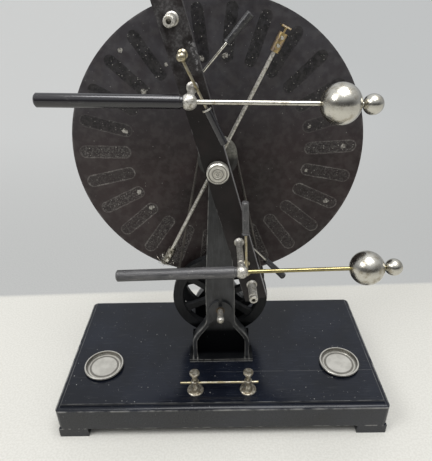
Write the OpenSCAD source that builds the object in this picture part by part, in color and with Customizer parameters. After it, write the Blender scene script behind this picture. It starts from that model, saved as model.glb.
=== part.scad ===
// Electrostatic influence machine with two counter-turning ebonite plates.
// Millimetres, Z up. X runs to the right, Y to the back. The floor is z = 0,
// x = 0 is the middle of the base and y = 0 the middle of the gap between the plates.

/* [Base] */
// Length of the base board, left to right
base_l = 372; // [350:2:440]
// Depth of the base board, front to back
base_w = 192; // [180:2:230]
// Height of the board's top face above the floor
base_h = 46; // [38:1:60]
// Distance of the board's middle in front of the plates' mid-plane
base_shift = 21; // [14:1:30]
// Height of the battens under the board
batten_h = 12.5; // [8:0.5:16]
// Width of each batten
batten_w = 33; // [20:1:50]
// Radius of the cove round the top edge
cove_r = 5.4; // [3:0.2:8]
// Width of the bead outside the cove
bead_w = 1; // [0.6:0.2:2]
// Radius of the board's corners, seen from above
corner_r = 5.5; // [3:0.5:9]

/* [Plates] */
// Diameter of each plate
plate_d = 300; // [260:2:320]
// Thickness of each plate
plate_t = 3; // [2:0.5:4]
// Air gap between the plates
plate_gap = 4; // [3:0.5:5]
// Height of the plate axis above the floor
axis_h = 297; // [280:1:330]
// Diameter of the fixed axle
axle_d = 8; // [6:0.5:10]
// Diameter of the plate bosses
boss_d = 40.8; // [36:0.2:46]
// Diameter of the spigot on which each plate sits
spigot_d = 18; // [14:1:24]
// Chamfer on the outer face of the bosses, across the radius
boss_chamfer = 3.9; // [1:0.1:5]

/* [Standards] */
// Distance from the mid-plane to the inner face of the standards
std_face = 31; // [29:0.5:36]
// Thickness of the standards, front to back
std_t = 14; // [10:0.5:18]
// Width of the column at the axle
col_top_w = 17; // [14:1:22]
// Width of the column above its foot
col_low_w = 33; // [28:1:38]
// Width of the foot
foot_w = 68; // [54:1:90]
// Height of the foot's upright sides above the board
foot_side_h = 26; // [16:1:32]
// Height above the board where the foot runs into the column
foot_top_h = 62; // [50:1:70]
// Distance from the mid-plane to the inner face of the foot
foot_face = 25; // [23.5:0.5:29]
// Overhang of the foot plate beyond the foot
sole_lip = 4.5; // [2:0.5:8]
// Thickness of the foot plate
sole_t = 3.5; // [2:0.5:6]
// Depth of the arched niche in the foot
niche_depth = 9; // [4:0.5:11]
// Width of the ribs beside the niche
niche_rib = 5; // [3:0.5:8]
// Diameter of the shaft boss on each standard
bearing_d = 26; // [20:1:32]
// Height of the shaft boss beyond the face of the standard
bearing_rise = 3; // [1:0.5:5]
// Diameter of the rounded head of the standards
head_d = 22; // [18:1:28]

/* [Drive] */
// Height of the drive shaft above the floor
shaft_h = 124; // [118:1:134]
// Diameter of the drive shaft
shaft_d = 6.4; // [5:0.2:8]
// Length of shaft that shows in front of the shaft boss
shaft_nose = 16; // [8:1:24]
// Diameter of the rounded button on the shaft's front end
button_d = 8; // [7:0.5:11]
// Diameter of the drive wheels
wheel_d = 112; // [100:1:120]
// Thickness of the wheel rims, across the radius
rim_t = 12; // [9:0.5:14]
// Width of the wheel rims along the shaft
rim_w = 9; // [8:0.5:10]
// Number of spokes
spoke_n = 6; // [4:1:8]
// Direction of the front wheel's first spoke, in degrees above the X axis
spoke_turn_front = 23; // [0:1:60]
// Direction of the rear wheel's first spoke, in degrees above the X axis
spoke_turn_rear = 6; // [0:1:60]
// Width of a spoke at its middle
spoke_w = 7; // [5:0.5:9]
// Thickness of a spoke along the shaft
spoke_t = 6; // [4:0.5:7.5]
// Diameter of the wheel hubs
wheel_hub_d = 22; // [16:1:28]
// Length of the wheel hubs
wheel_hub_l = 13; // [9:0.5:14]
// Outer diameter of the bearing bushes
bush_d = 10; // [9:0.5:14]

/* [Belts] */
// Distance from the mid-plane to each belt's plane
belt_y = 18; // [17:0.5:19]
// Diameter of the belt cord
cord_d = 3; // [2:0.2:3.4]
// Diameter of the belt line on a plate boss
pulley_line_d = 37.5; // [34:0.5:38]
// Depth of the belt line below the rim of the wheels
wheel_line_depth = 2; // [1.6:0.1:3]
// Half angle of the belt grooves
groove_a = 30; // [25:1:32]

/* [Crank] */
// Height of the crank grip's middle above the board when it hangs down
crank_clear = 16; // [10:0.5:30]
// Thickness of the crank arm
crank_t = 6; // [4:0.5:8]
// Width of the crank arm
crank_w = 11; // [9:0.5:14]
// Diameter of the crank's boss on the shaft
crank_boss_d = 18; // [14:0.5:22]
// Length of the turned grip
grip_l = 65; // [50:1:70]
// Greatest diameter of the grip
grip_d = 15; // [12:0.5:16]
// Diameter of the pin inside the grip
grip_pin_d = 5; // [4:0.5:7]

/* [Arm] */
// Length of the terminal arm
arm_l = 314; // [300:1:330]
// Width of the terminal arm
arm_w = 24.4; // [20:0.2:28]
// Thickness of the terminal arm
arm_t = 8.5; // [6:0.5:10]
// Gap between the front standard and the arm
arm_gap = 1.5; // [1:0.1:3]
// Lean of the arm to the left at its top, in degrees
arm_lean = 14.8; // [13:0.1:40]
// Distance from the axle to the outer terminals
socket_r = 136; // [132:0.5:146]
// Distance from the axle to the middle terminals
lever_r = 108; // [104:0.5:114]
// Distance from the axle to the inner terminals
spark_r = 80.5; // [76:0.5:86]
// Diameter of the outer terminals
socket_d = 9; // [8:0.5:12]
// Length of the outer terminals in front of the arm
socket_l = 28; // [20:1:34]
// Diameter of the socket in an outer terminal
socket_bore_d = 4.2; // [3:0.1:5]
// Depth of the socket in an outer terminal
socket_bore_l = 10; // [6:0.5:14]
// Distance from the arm's face to the front levers
lever_reach = 16; // [13:0.5:20]
// Diameter of the posts that carry the front levers
lever_post_d = 5; // [4:0.2:7]
// Distance from the arm's face to the spark rods
spark_reach = 54; // [48:0.5:60]
// Diameter of the posts that carry the spark rods
spark_post_d = 6.4; // [5.4:0.2:7]
// Distance from the arm's back to the back levers
back_reach = 7.5; // [7.5:0.5:9]
// Diameter of the round nut on the axle's front end
cap_d = 21.2; // [16:0.2:26]
// Thickness of the round nut
cap_t = 7.7; // [5:0.2:10]

/* [Spark rods] */
// Diameter of the pivot balls
pivot_ball_d = 12.6; // [11:0.2:15]
// Diameter of the pivot pins
pivot_pin_d = 4.4; // [3:0.2:5]
// Diameter of the spark rods
spark_rod_d = 3.8; // [3:0.1:4.4]
// Distance from the pivot to the big ball
spark_ball_x = 115; // [100:1:120]
// Diameter of the big balls
spark_ball_d = 32; // [24:1:36]
// Diameter of the small balls
spark_tip_d = 16; // [12:0.5:20]
// Gap between a big ball and its small ball
spark_tip_gap = 0.5; // [0.4:0.1:2]
// Length of the spark rod handles
spark_grip_l = 111.6; // [80:0.2:116]
// Diameter of the spark rod handles
spark_grip_d = 10.8; // [9:0.2:14]
// Depth to which a pivot ball sits in the end of its handle
spark_cup_l = 1.6; // [1:0.1:2]
// Slope of the upper spark rod, in degrees above the X axis
spark_slope_upper = -1.8; // [-6:0.1:10]
// Slope of the lower spark rod, in degrees above the X axis
spark_slope_lower = 1.1; // [-10:0.1:6]

/* [Levers] */
// Diameter of the balls at the front levers' pivots
lever_ball_d = 8.4; // [7.6:0.2:10]
// Diameter of the balls at the back levers' pivots
back_ball_d = 7.2; // [6.4:0.2:9]
// Diameter of the pins at the levers' pivots
lever_pin_d = 2.4; // [2:0.1:3]
// Diameter of the metal rods of the levers
lever_rod_d = 2.5; // [2:0.1:3]
// Length of a front lever from its pivot to its handle
lever_rod_l = 45; // [38:1:50]
// Length of a front lever's handle
lever_grip_l = 35; // [26:1:38]
// Diameter of a front lever's handle
lever_grip_d = 6.8; // [6:0.2:8]
// Direction of the upper front lever, in degrees above the X axis
lever_turn_upper = -65; // [-65:0.5:80]
// Direction of the lower front lever, in degrees above the X axis
lever_turn_lower = 91.6; // [0:0.1:92]
// Length of a back lever from its pivot to its handle
back_rod_l = 45; // [38:1:50]
// Length of a back lever's handle
back_grip_l = 30; // [24:1:36]
// Diameter of a back lever's handle at its outer end
back_grip_d = 7.4; // [6:0.2:8]
// Direction of the upper back lever, in degrees above the X axis
back_turn_upper = 47.8; // [30:0.1:80]
// Direction of the lower back lever, in degrees above the X axis
back_turn_lower = -47.3; // [-50:0.1:0]

/* [Neutralising rods] */
// Distance from the mid-plane to each neutralising rod
neutral_y = 26; // [25.9:0.1:28]
// Diameter of a neutralising rod
neutral_d = 3.8; // [3:0.1:4]
// Direction of the front rod, in degrees above the X axis
neutral_turn = 62.9; // [30:0.1:64]
// Diameter of the collar that turns on the axle
collar_d = 17; // [14:0.5:20]
// Distance from the axle to the inner end of a brush holder
holder_r = 114; // [104:1:116]
// Length of a brush holder
holder_l = 17; // [12:0.5:19]
// Diameter of a brush holder
holder_d = 8.4; // [7:0.2:10]
// Distance from the axle to the wire brushes
brush_r = 136; // [134:0.5:140]
// Width of a wire brush
brush_w = 9; // [5:0.5:12]
// Number of wires in a brush
wire_n = 7; // [3:1:9]
// Diameter of a brush's stem and cross bar
brush_stem_d = 1.8; // [1.4:0.1:2.4]
// Diameter of a brush wire
brush_wire_d = 0.5; // [0.4:0.1:0.8]

/* [Base fittings] */
// Distance from the inner side of a batten to the middle of its jar dish
dish_inset = 10.5; // [8:0.5:30]
// Distance from the board's front edge to the middle of each jar dish
dish_back = 61.5; // [40:0.5:70]
// Outer diameter of a jar dish
dish_d = 46.5; // [36:0.5:56]
// Height of a jar dish above the board
dish_h = 4.5; // [3:0.1:8]
// Wall thickness of a jar dish
dish_wall = 1.8; // [1:0.1:3]
// Floor thickness of a jar dish
dish_floor = 1; // [0.8:0.1:2]
// Radius by which a jar dish is stepped in at its foot
dish_step = 2.4; // [1:0.1:3]
// Width of the ring groove in a jar dish's floor
dish_ring_w = 1.6; // [1:0.1:3]
// Depth of the ring groove in a jar dish's floor
dish_ring_t = 0.4; // [0.2:0.1:0.6]
// Distance from the middle of the base to each binding post
post_x = 30; // [20:0.5:50]
// Distance from the board's front edge to the binding posts
post_back = 24; // [18:0.5:30]
// Diameter of a binding post's flange
post_flange_d = 18.4; // [14:0.2:24]
// Diameter of a binding post at its foot
post_d = 11; // [9:0.2:13]
// Height of the link rod above the board
link_h = 12; // [9:0.5:16]
// Diameter of the link rod
link_d = 2.8; // [2:0.1:3.2]
// Length of the link rod
link_l = 88; // [70:1:120]
// Shift of the link rod to the left of the middle
link_shift = 2.5; // [-6:0.5:6]
// Diameter of a thumbscrew's head
thumb_d = 11.2; // [9:0.2:14]
// Height of a thumbscrew's head above the link rod
thumb_rise = 16.5; // [14:0.5:22]
// Width of the brass straps under the board
strap_w = 8; // [6:0.5:10]
// Thickness of the brass straps
strap_t = 0.8; // [0.5:0.1:1.5]

/* [Fits] */
// Radial clearance of a turning fit
run_fit = 0.05; // [0.03:0.01:0.1]
// Radial clearance of a fixed fit
fixed_fit = 0.02; // [0.02:0.01:0.06]
// Clearance between pieces that pass each other
pass_gap = 0.3; // [0.2:0.05:0.4]
// Clearance at the blind end of a bore
end_gap = 0.2; // [0.1:0.05:0.3]

/* [Hidden] */
$fn = 64;

// Colours
black_wood = "#1b1d22";
black_iron = "#1c1c1e";
ebonite = "#2f2521";
polished_ebonite = "#242426";
nickel = "#c4c1b8";
brass = "#b3915a";
steel = "#8f9092";
cord_grey = "#45413c";

// Heights and distances that several pieces share
plate_in = plate_gap / 2;
plate_out = plate_in + plate_t;
std_out = std_face + std_t;
arm_back = std_out + arm_gap;
arm_front = arm_back + arm_t;
taper_h = shaft_h + bearing_d;
foot_block_h = (foot_side_h + foot_top_h) * 0.36;
bearing_out = std_out + bearing_rise;
wheel_line_r = wheel_d / 2 - wheel_line_depth;
pulley_line_r = pulley_line_d / 2;
wheel_out = belt_y + wheel_hub_l / 2;
boss_out = belt_y + groove_half(boss_d / 2, pulley_line_r) + 1;
crank_r = shaft_h - base_h - crank_clear;
dish_x = base_l / 2 - batten_w - dish_inset;
dish_y = base_w / 2 + base_shift - dish_back;
post_y = base_w / 2 + base_shift - post_back;
spark_y = -(arm_front + spark_reach);
lever_y = -(arm_front + lever_reach);
back_y = -(arm_back - back_reach);
spark_tip_x = spark_ball_x + spark_ball_d / 2 + spark_tip_gap + spark_tip_d / 2;

// Fasteners
stud_d = 3;
stud_nut_w = 5.5;
stud_nut_t = 2.4;
bolt_d = 5;
bolt_head_d = 9;
bolt_head_t = 4;
bolt_grip = 12;
bolt_sink = 2;
bolt_x = 0.65 * foot_w / 2;
bolt_y = (foot_face + std_out - niche_depth) / 2;
screw_d = 4;
screw_head_d = 8;
screw_head_t = 3;
screw_sink = 2;
screw_grip = 14;
screw_y = 0.31 * base_w;
oil_w = 4;
niche_arch_h = 9;
axle_nut_w = 14;
axle_nut_t = 6;
cap_thread = 4;
crank_in = bearing_out + pass_gap;
crank_boss_l = 8;
crank_out = crank_in + crank_boss_l;
grip_head_t = 3.1;
pivot_depth = spark_rod_d / 2 + 0.5;
spark_grip_hold = 14;
lever_grip_hold = 10;
post_bolt_d = 4;
arm_nut_w = 8;
arm_nut_t = 3;

// Steps along the belts
belt_sides = 8;
pulley_steps = 16;
wheel_steps = 26;
run_steps = 14;
cross_sway = 3.5;

// Half width of a belt groove at radius r, for a cord whose centre runs at line_r
function groove_half(r, line_r) = (r - line_r + (cord_d / 2 + pass_gap) / sin(groove_a)) * tan(groove_a);
function groove_floor(line_r) = line_r - cord_d / 2 - pass_gap;
function smooth(t) = t * t * (3 - 2 * t);
function unit(v) = v / norm(v);
function on_circle(h, r, a) = [r * cos(a), 0, h + r * sin(a)];
function blend(p, q, t) = p + (q - p) * t;

// Route of a belt's centre line: sense 1 for an open belt, -1 for a crossed one
function belt_route(sense) =
    let (span = axis_h - shaft_h)
    let (lean = sense * asin((wheel_line_r - sense * pulley_line_r) / span))
    let (w0 = sense > 0 ? 180 - lean : -lean)
    let (w1 = sense > 0 ? 360 + lean : lean - 180)
    let (sway = sense > 0 ? 0 : cross_sway)
    let (over = [for (i = [0:pulley_steps])
        on_circle(axis_h, pulley_line_r, lean + (180 - 2 * lean) * i / pulley_steps)])
    let (under = [for (i = [0:wheel_steps])
        on_circle(shaft_h, wheel_line_r, w0 + (w1 - w0) * i / wheel_steps)])
    concat(
        over, belt_run(over[pulley_steps], under[0], sway),
        under, belt_run(under[wheel_steps], over[0], -sway));

function belt_run(p, q, sway) = [for (i = [1:run_steps - 1])
    blend(p, q, i / run_steps) + [0, sway * pow(sin(180 * i / run_steps), 2), 0]];

module along_y(y, l, d) {
    translate([0, y, 0]) rotate([-90, 0, 0]) cylinder(h = l, d = d);
}

module along_x(x, l, d) {
    translate([x, 0, 0]) rotate([0, 90, 0]) cylinder(h = l, d = d);
}

// Revolves a profile of [radius, y] points about the Y axis
module turned_y(profile) {
    rotate([-90, 0, 0]) rotate_extrude() polygon(profile);
}

// Revolves a profile of [radius, x] points about the X axis
module turned_x(profile) {
    rotate([0, 90, 0]) rotate_extrude() polygon(profile);
}

// Ball on the X axis, bored along it from x0 on
module bored_ball(x, d, bore_d, x0, x1) {
    rotate([0, 90, 0]) rotate_extrude() difference() {
        intersection() {
            translate([0, x]) circle(d = d);
            translate([0, x - d]) square([d, 2 * d]);
        }
        translate([-bore_d, x0]) square([1.5 * bore_d, x1 - x0]);
    }
}

// Extrudes an outline drawn in the XZ plane from y to y + t
module slab_y(y, t) {
    translate([0, y + t, 0]) rotate([90, 0, 0]) linear_extrude(t) children();
}

module at_axle() {
    translate([0, 0, axis_h]) children();
}

module at_shaft() {
    translate([0, 0, shaft_h]) children();
}

// Places a piece on the terminal arm, at distance r from the axle
module on_arm(r) {
    at_axle() rotate([0, -arm_lean, 0]) translate([0, 0, r]) children();
}

// Places a rod whose pivot is on the arm at distance r, its X axis turned to an angle
module from_arm(r, y, turn) {
    translate([-r * sin(arm_lean), y, axis_h + r * cos(arm_lean)]) rotate([0, -turn, 0]) children();
}

module board_plan(l, w, h) {
    linear_extrude(h) union() {
        square([l - 2 * corner_r, w], center = true);
        square([l, w - 2 * corner_r], center = true);
        for (x = [-1, 1], y = [-1, 1])
            translate([x * (l / 2 - corner_r), y * (w / 2 - corner_r)]) circle(r = corner_r);
    }
}

// Cuts the cove along an edge of length l that lies on the X axis, outward along Y
module cove_cut(l) {
    translate([0, -bead_w, base_h]) union() {
        rotate([0, 90, 0]) cylinder(h = l, r = cove_r, center = true);
        translate([-l / 2, 0, -cove_r]) cube([l, bead_w + 1, 2 * cove_r]);
    }
}

module base_board() {
    color(black_wood) difference() {
        translate([0, -base_shift, batten_h]) board_plan(base_l, base_w, base_h - batten_h);
        for (side = [-1, 1]) {
            translate([0, side * base_w / 2 - base_shift, 0])
                rotate(side > 0 ? 0 : 180) cove_cut(base_l + 4);
            translate([side * base_l / 2, -base_shift, 0])
                rotate(side > 0 ? -90 : 90) cove_cut(base_w + 4);
            for (end = [-1, 1]) {
                translate([side * bolt_x, end * bolt_y, 0]) {
                    cylinder(h = base_h + 1, d = bolt_d + 2 * pass_gap);
                    cylinder(h = batten_h + bolt_head_t + bolt_sink, d = bolt_head_d + 1);
                }
                translate([side * (base_l - batten_w) / 2, end * screw_y - base_shift, 0])
                    cylinder(h = batten_h + screw_grip + pass_gap, d = screw_d + 2 * fixed_fit);
            }
            translate([side * dish_x, -dish_y, 0])
                cylinder(h = base_h + 1, d = stud_d + 2 * run_fit);
            translate([side * post_x, -post_y, 0])
                cylinder(h = base_h + 1, d = stud_d + 2 * run_fit);
        }
    }
}

module foot(side) {
    color(black_wood) translate([side * (base_l - batten_w) / 2, -base_shift, 0]) difference() {
        translate([-batten_w / 2, -base_w / 2, 0]) cube([batten_w, base_w, batten_h]);
        for (end = [-1, 1]) translate([0, end * screw_y, 0]) {
            translate([0, 0, -1]) cylinder(h = batten_h + 2, d = screw_d + 2 * fixed_fit);
            translate([0, 0, -1]) cylinder(h = screw_sink + screw_head_t + 1, d = screw_head_d + 0.4);
        }
    }
}

module foot_left() {
    foot(-1);
}

module foot_right() {
    foot(1);
}

module foot_screws() {
    color(steel) for (side = [-1, 1], end = [-1, 1])
        translate([side * (base_l - batten_w) / 2, end * screw_y - base_shift, screw_sink]) difference() {
            union() {
                cylinder(h = screw_head_t, d = screw_head_d);
                cylinder(h = batten_h + screw_grip - screw_sink, d = screw_d);
            }
            translate([-screw_head_d / 2, -0.5, -1]) cube([screw_head_d, 1, 2]);
        }
}

module standard_bolts() {
    color(steel) for (side = [-1, 1], end = [-1, 1])
        translate([side * bolt_x, end * bolt_y, batten_h + bolt_sink]) {
            cylinder(h = bolt_head_t, d = bolt_head_d, $fn = 6);
            cylinder(h = base_h + bolt_grip - batten_h - bolt_sink, d = bolt_d);
        }
}

// Points up the flare of the foot, as [half width, height], set in by inset
function flare(inset, n) = [for (i = [0:n]) let(t = i / 8) [
    blend(foot_w, col_low_w, smooth(t)) / 2 - inset,
    base_h + blend(foot_side_h, foot_top_h, t)
]];

// Closes a half outline with its mirror image
function both_sides(side) = concat(side, [for (i = [len(side) - 1:-1:0]) [-side[i][0], side[i][1]]]);

module standard_outline() {
    polygon(both_sides(concat(
        [[foot_w / 2, base_h]], flare(0, 8),
        [[col_low_w / 2, taper_h], [col_top_w / 2, axis_h]])));
}

// The niche follows the flare of the foot and closes in an arch under the shaft boss
module niche_outline() {
    side = concat([[foot_w / 2 - niche_rib, base_h + sole_t]], flare(niche_rib, 6));
    spring = side[len(side) - 1];
    polygon(both_sides(concat(side, [for (a = [15:15:75])
        [spring[0] * cos(a), spring[1] + niche_arch_h * sin(a)]])));
}

// Standard behind the plates; the front one is its mirror image
module standard() {
    color(black_iron) difference() {
        union() {
            slab_y(std_face, std_t) union() {
                standard_outline();
                translate([0, axis_h]) circle(d = head_d);
            }
            slab_y(foot_face, std_face - foot_face + 1)
                translate([-foot_w / 2, base_h]) square([foot_w, foot_block_h]);
            translate([-foot_w / 2 - sole_lip, foot_face, base_h])
                cube([foot_w + 2 * sole_lip, std_out - foot_face + sole_lip, sole_t]);
            at_shaft() along_y(std_face, std_t + bearing_rise, bearing_d);
            at_axle() along_y(std_face, std_t + arm_gap - pass_gap, head_d - 2);
        }
        slab_y(std_out - niche_depth, niche_depth + 1) niche_outline();
        at_shaft() along_y(std_face - 1, std_t + bearing_rise + 2, bush_d + 2 * fixed_fit);
        at_axle() along_y(std_face - 1, std_t + arm_gap + 2, axle_d + 2 * fixed_fit);
        translate([-oil_w / 2, std_out, shaft_h + bush_d / 2 + 1])
            cube([oil_w, bearing_rise + 1, bearing_d]);
        for (side = [-1, 1]) translate([side * bolt_x, bolt_y, base_h - 1])
            cylinder(h = bolt_grip + 1 + pass_gap, d = bolt_d + 2 * fixed_fit);
    }
}

module front_standard() {
    mirror([0, 1, 0]) standard();
}

module rear_standard() {
    standard();
}

// Flanged bush that carries the shaft in a standard and spaces the wheel from it
module shaft_bush() {
    color(brass) at_shaft() difference() {
        union() {
            along_y(wheel_out + pass_gap, bearing_out - wheel_out - pass_gap, bush_d);
            along_y(wheel_out + pass_gap, std_face - wheel_out - pass_gap, bush_d + 5);
        }
        along_y(wheel_out - 1, bearing_out - wheel_out + 2, shaft_d + 2 * run_fit);
    }
}

module shaft_bushes() {
    shaft_bush();
    mirror([0, 1, 0]) shaft_bush();
}

module plate_axle() {
    color(steel) at_axle()
        along_y(-arm_front - cap_thread, arm_front + cap_thread + arm_back + axle_nut_t + 1, axle_d);
}

module hub_nut() {
    bore = axle_d / 2 + fixed_fit;
    rim = cap_d / 2;
    color(nickel) at_axle() translate([0, -arm_front - pass_gap, 0]) mirror([0, 1, 0]) difference() {
        turned_y([
            [bore, 0], [rim, 0], [rim, cap_t - 1.4], [rim - 1.2, cap_t - 0.2],
            [0.86 * rim, cap_t - 0.2], [0.82 * rim, cap_t - 1], [0.6 * rim, cap_t - 1],
            [0.56 * rim, cap_t - 0.4], [0.36 * rim, cap_t - 0.4], [0.3 * rim, cap_t - 1.2],
            [0.22 * rim, cap_t - 1.2], [0.2 * rim, cap_t], [0, cap_t],
            [0, cap_thread], [bore, cap_thread]
        ]);
    }
}

module axle_nut() {
    color(nickel) at_axle() difference() {
        union() {
            along_y(arm_back - pass_gap + fixed_fit, 1.2, axle_nut_w + 4);
            rotate([0, 30, 0]) translate([0, arm_back + 1, 0]) rotate([-90, 0, 0])
                cylinder(h = axle_nut_t - 1, d = axle_nut_w / cos(30), $fn = 6);
        }
        along_y(std_out, axle_nut_t + 6, axle_d + 2 * fixed_fit);
    }
}

// Cord belt as one closed tube of rings square to its route
module belt(y, sense) {
    route = belt_route(sense);
    n = len(route);
    rings = [for (i = [0:n - 1])
        let (along = unit(route[(i + 1) % n] - route[(i + n - 1) % n]))
        let (out = unit(cross(along, [0, 1, 0])))
        let (side = cross(along, out))
        for (j = [0:belt_sides - 1]) let (a = 360 * j / belt_sides)
            route[i] + cord_d / 2 * (cos(a) * out + sin(a) * side)];
    faces = [for (i = [0:n - 1], j = [0:belt_sides - 1])
        let (k = (j + 1) % belt_sides, i1 = (i + 1) % n)
        let (p = i * belt_sides, q = i1 * belt_sides)
        for (f = [[p + j, p + k, q + k], [p + j, q + k, q + j]]) f];
    color(cord_grey) translate([0, y, 0]) polyhedron(points = rings, faces = faces);
}

module front_belt() {
    belt(-belt_y, 1);
}

module rear_belt() {
    belt(belt_y, -1);
}

module jar_dish(side) {
    r = dish_d / 2;
    ring = 0.88 * (r - dish_wall);
    edge = dish_h / 9;
    color(nickel) translate([side * dish_x, -dish_y, base_h]) {
        rotate_extrude() polygon([
            [0, 0], [r - dish_step, 0], [r - dish_step, 0.18 * dish_h], [r - edge, 0.36 * dish_h],
            [r, 0.49 * dish_h], [r, dish_h - edge], [r - edge, dish_h], [r - dish_wall, dish_h],
            [r - dish_wall, dish_floor], [ring, dish_floor], [ring - 0.2 * dish_ring_w, dish_floor - dish_ring_t],
            [ring - 0.8 * dish_ring_w, dish_floor - dish_ring_t], [ring - dish_ring_w, dish_floor],
            [0, dish_floor]
        ]);
        stud();
    }
}

// Threaded stud that goes down through the board to a nut under it
module stud() {
    tail = base_h - batten_h + strap_t + stud_nut_t + 0.8;
    translate([0, 0, -tail]) cylinder(h = tail + 0.5, d = stud_d);
}

module jar_dish_left() {
    jar_dish(-1);
}

module jar_dish_right() {
    jar_dish(1);
}

module binding_post(side) {
    r = post_d / 2;
    neck = 0.68 * r;
    top = link_h + link_d / 2 + 2.4;
    color(nickel) translate([side * post_x, -post_y, base_h]) difference() {
        union() {
            rotate_extrude() polygon([
                [0, 0], [post_flange_d / 2, 0], [post_flange_d / 2, 1.2], [post_flange_d / 2 - 1, 2],
                [r + 0.6, 2], [r, 3], [neck, link_h - 3.4], [neck + 0.5, link_h - 2.6],
                [neck + 0.5, top - 0.5], [neck, top], [0, top]
            ]);
            stud();
        }
        translate([0, 0, link_h]) rotate([0, 90, 0])
            cylinder(h = post_d + 2, d = link_d + 2 * fixed_fit, center = true);
        translate([0, 0, link_h]) cylinder(h = link_d + 6, d = stud_d + 2 * run_fit);
    }
}

module post_left() {
    binding_post(-1);
}

module post_right() {
    binding_post(1);
}

module link_rod() {
    color(brass) translate([-link_shift, -post_y, base_h + link_h]) rotate([0, 90, 0])
        cylinder(h = link_l, d = link_d, center = true);
}

module thumbscrew(side) {
    foot = link_d / 2 + 0.1;
    neck = link_d / 2 + 2.4 + pass_gap;
    head = thumb_rise - 3;
    r = thumb_d / 2;
    color(nickel) translate([side * post_x, -post_y, base_h + link_h]) rotate_extrude() polygon([
        [0, foot], [stud_d / 2, foot], [stud_d / 2, neck], [stud_d / 2 + 0.6, neck],
        [0.74 * r, head], [r - 0.4, head], [r, head + 0.4], [r, thumb_rise - 0.8],
        [r - 0.8, thumb_rise], [0, thumb_rise]
    ]);
}

module thumbscrew_left() {
    thumbscrew(-1);
}

module thumbscrew_right() {
    thumbscrew(1);
}

// Brass straps that join each dish to its binding post under the board
module lead_straps() {
    run = [dish_x - post_x, post_y - dish_y];
    color(brass) for (side = [-1, 1])
        translate([side * dish_x, -dish_y, batten_h - strap_t])
            rotate(side > 0 ? 180 + atan2(run[1], run[0]) : -atan2(run[1], run[0]))
            difference() {
                union() {
                    translate([0, -strap_w / 2, 0]) cube([norm(run), strap_w, strap_t]);
                    cylinder(h = strap_t, d = strap_w);
                    translate([norm(run), 0, 0]) cylinder(h = strap_t, d = strap_w);
                }
                for (x = [0, norm(run)]) translate([x, 0, -1])
                    cylinder(h = strap_t + 2, d = stud_d + 2 * run_fit);
            }
}

module lead_nuts() {
    places = [[dish_x, -dish_y], [post_x, -post_y], [-dish_x, -dish_y], [-post_x, -post_y]];
    color(brass) for (p = places)
        translate([p[0], p[1], batten_h - strap_t - stud_nut_t]) difference() {
            cylinder(h = stud_nut_t, d = stud_nut_w / cos(30), $fn = 6);
            translate([0, 0, -1]) cylinder(h = stud_nut_t + 2, d = stud_d + 2 * fixed_fit);
        }
}

module drive_shaft() {
    nose = bearing_out + shaft_nose;
    color(steel) at_shaft() union() {
        along_y(-nose, nose + bearing_out + pass_gap + crank_boss_l, shaft_d);
        along_y(-nose, 2, button_d);
        translate([0, -nose, 0]) sphere(d = button_d);
    }
}

// Half width of a spoke at radius r: it widens a little to the hub and more to the rim
function spoke_half(r, r0, r1) = let (t = 2 * (r - r0) / (r1 - r0) - 1)
    spoke_w / 2 * (1 + (t > 0 ? 0.9 : 0.4) * pow(t, 4));

module spoke_outline(r0, r1) {
    edge = [for (i = [0:8]) let (r = blend(r0, r1, i / 8)) [r, spoke_half(r, r0, r1)]];
    polygon(concat(edge, [for (i = [8:-1:0]) [edge[i][0], -edge[i][1]]]));
}

// Drive wheel behind the plates; the front one is its mirror image
module drive_wheel(spoke_turn) {
    rim = wheel_d / 2;
    inner = rim - rim_t;
    hub = wheel_hub_d / 2;
    floor_r = groove_floor(wheel_line_r);
    deep = groove_half(floor_r, wheel_line_r);
    wide = groove_half(rim, wheel_line_r);
    w = rim_w / 2;
    color(black_iron) at_shaft() translate([0, belt_y, 0]) difference() {
        union() {
            turned_y([
                [inner, -w + 1], [inner + 1, -w], [rim, -w], [rim, -wide], [floor_r, -deep],
                [floor_r, deep], [rim, wide], [rim, w], [inner + 1, w], [inner, w - 1]
            ]);
            along_y(-wheel_hub_l / 2, wheel_hub_l, wheel_hub_d);
            slab_y(-spoke_t / 2, spoke_t) for (i = [0:spoke_n - 1])
                rotate(spoke_turn + 360 * i / spoke_n) spoke_outline(hub - 1.5, inner + 1.5);
        }
        along_y(-wheel_hub_l / 2 - 1, wheel_hub_l + 2, shaft_d + 2 * fixed_fit);
    }
}

module rear_wheel() {
    drive_wheel(spoke_turn_rear);
}

module front_wheel() {
    mirror([0, 1, 0]) drive_wheel(spoke_turn_front);
}

// Crank arm hanging from the shaft's back end, its boss against the rear standard
module crank_arm() {
    color(black_iron) at_shaft() difference() {
        union() {
            along_y(crank_in, crank_boss_l, crank_boss_d);
            translate([0, crank_out - crank_t, -crank_r]) along_y(0, crank_t, crank_w + 3);
            slab_y(crank_out - crank_t, crank_t) polygon([
                [-crank_w / 2 - 1, 0], [crank_w / 2 + 1, 0], [crank_w / 2, -crank_r], [-crank_w / 2, -crank_r]
            ]);
        }
        along_y(crank_in - 1, crank_boss_l + 2, shaft_d + 2 * fixed_fit);
        translate([0, crank_in, -crank_r]) along_y(0, crank_boss_l + 1, grip_pin_d + 2 * fixed_fit);
    }
}

module crank_pin() {
    color(steel) at_shaft() translate([0, 0, -crank_r]) {
        along_y(crank_out - crank_t, crank_t + grip_l + 2 * pass_gap, grip_pin_d);
        along_y(crank_out + grip_l + 2 * pass_gap - 0.01, grip_head_t, grip_pin_d + 5);
    }
}

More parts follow.
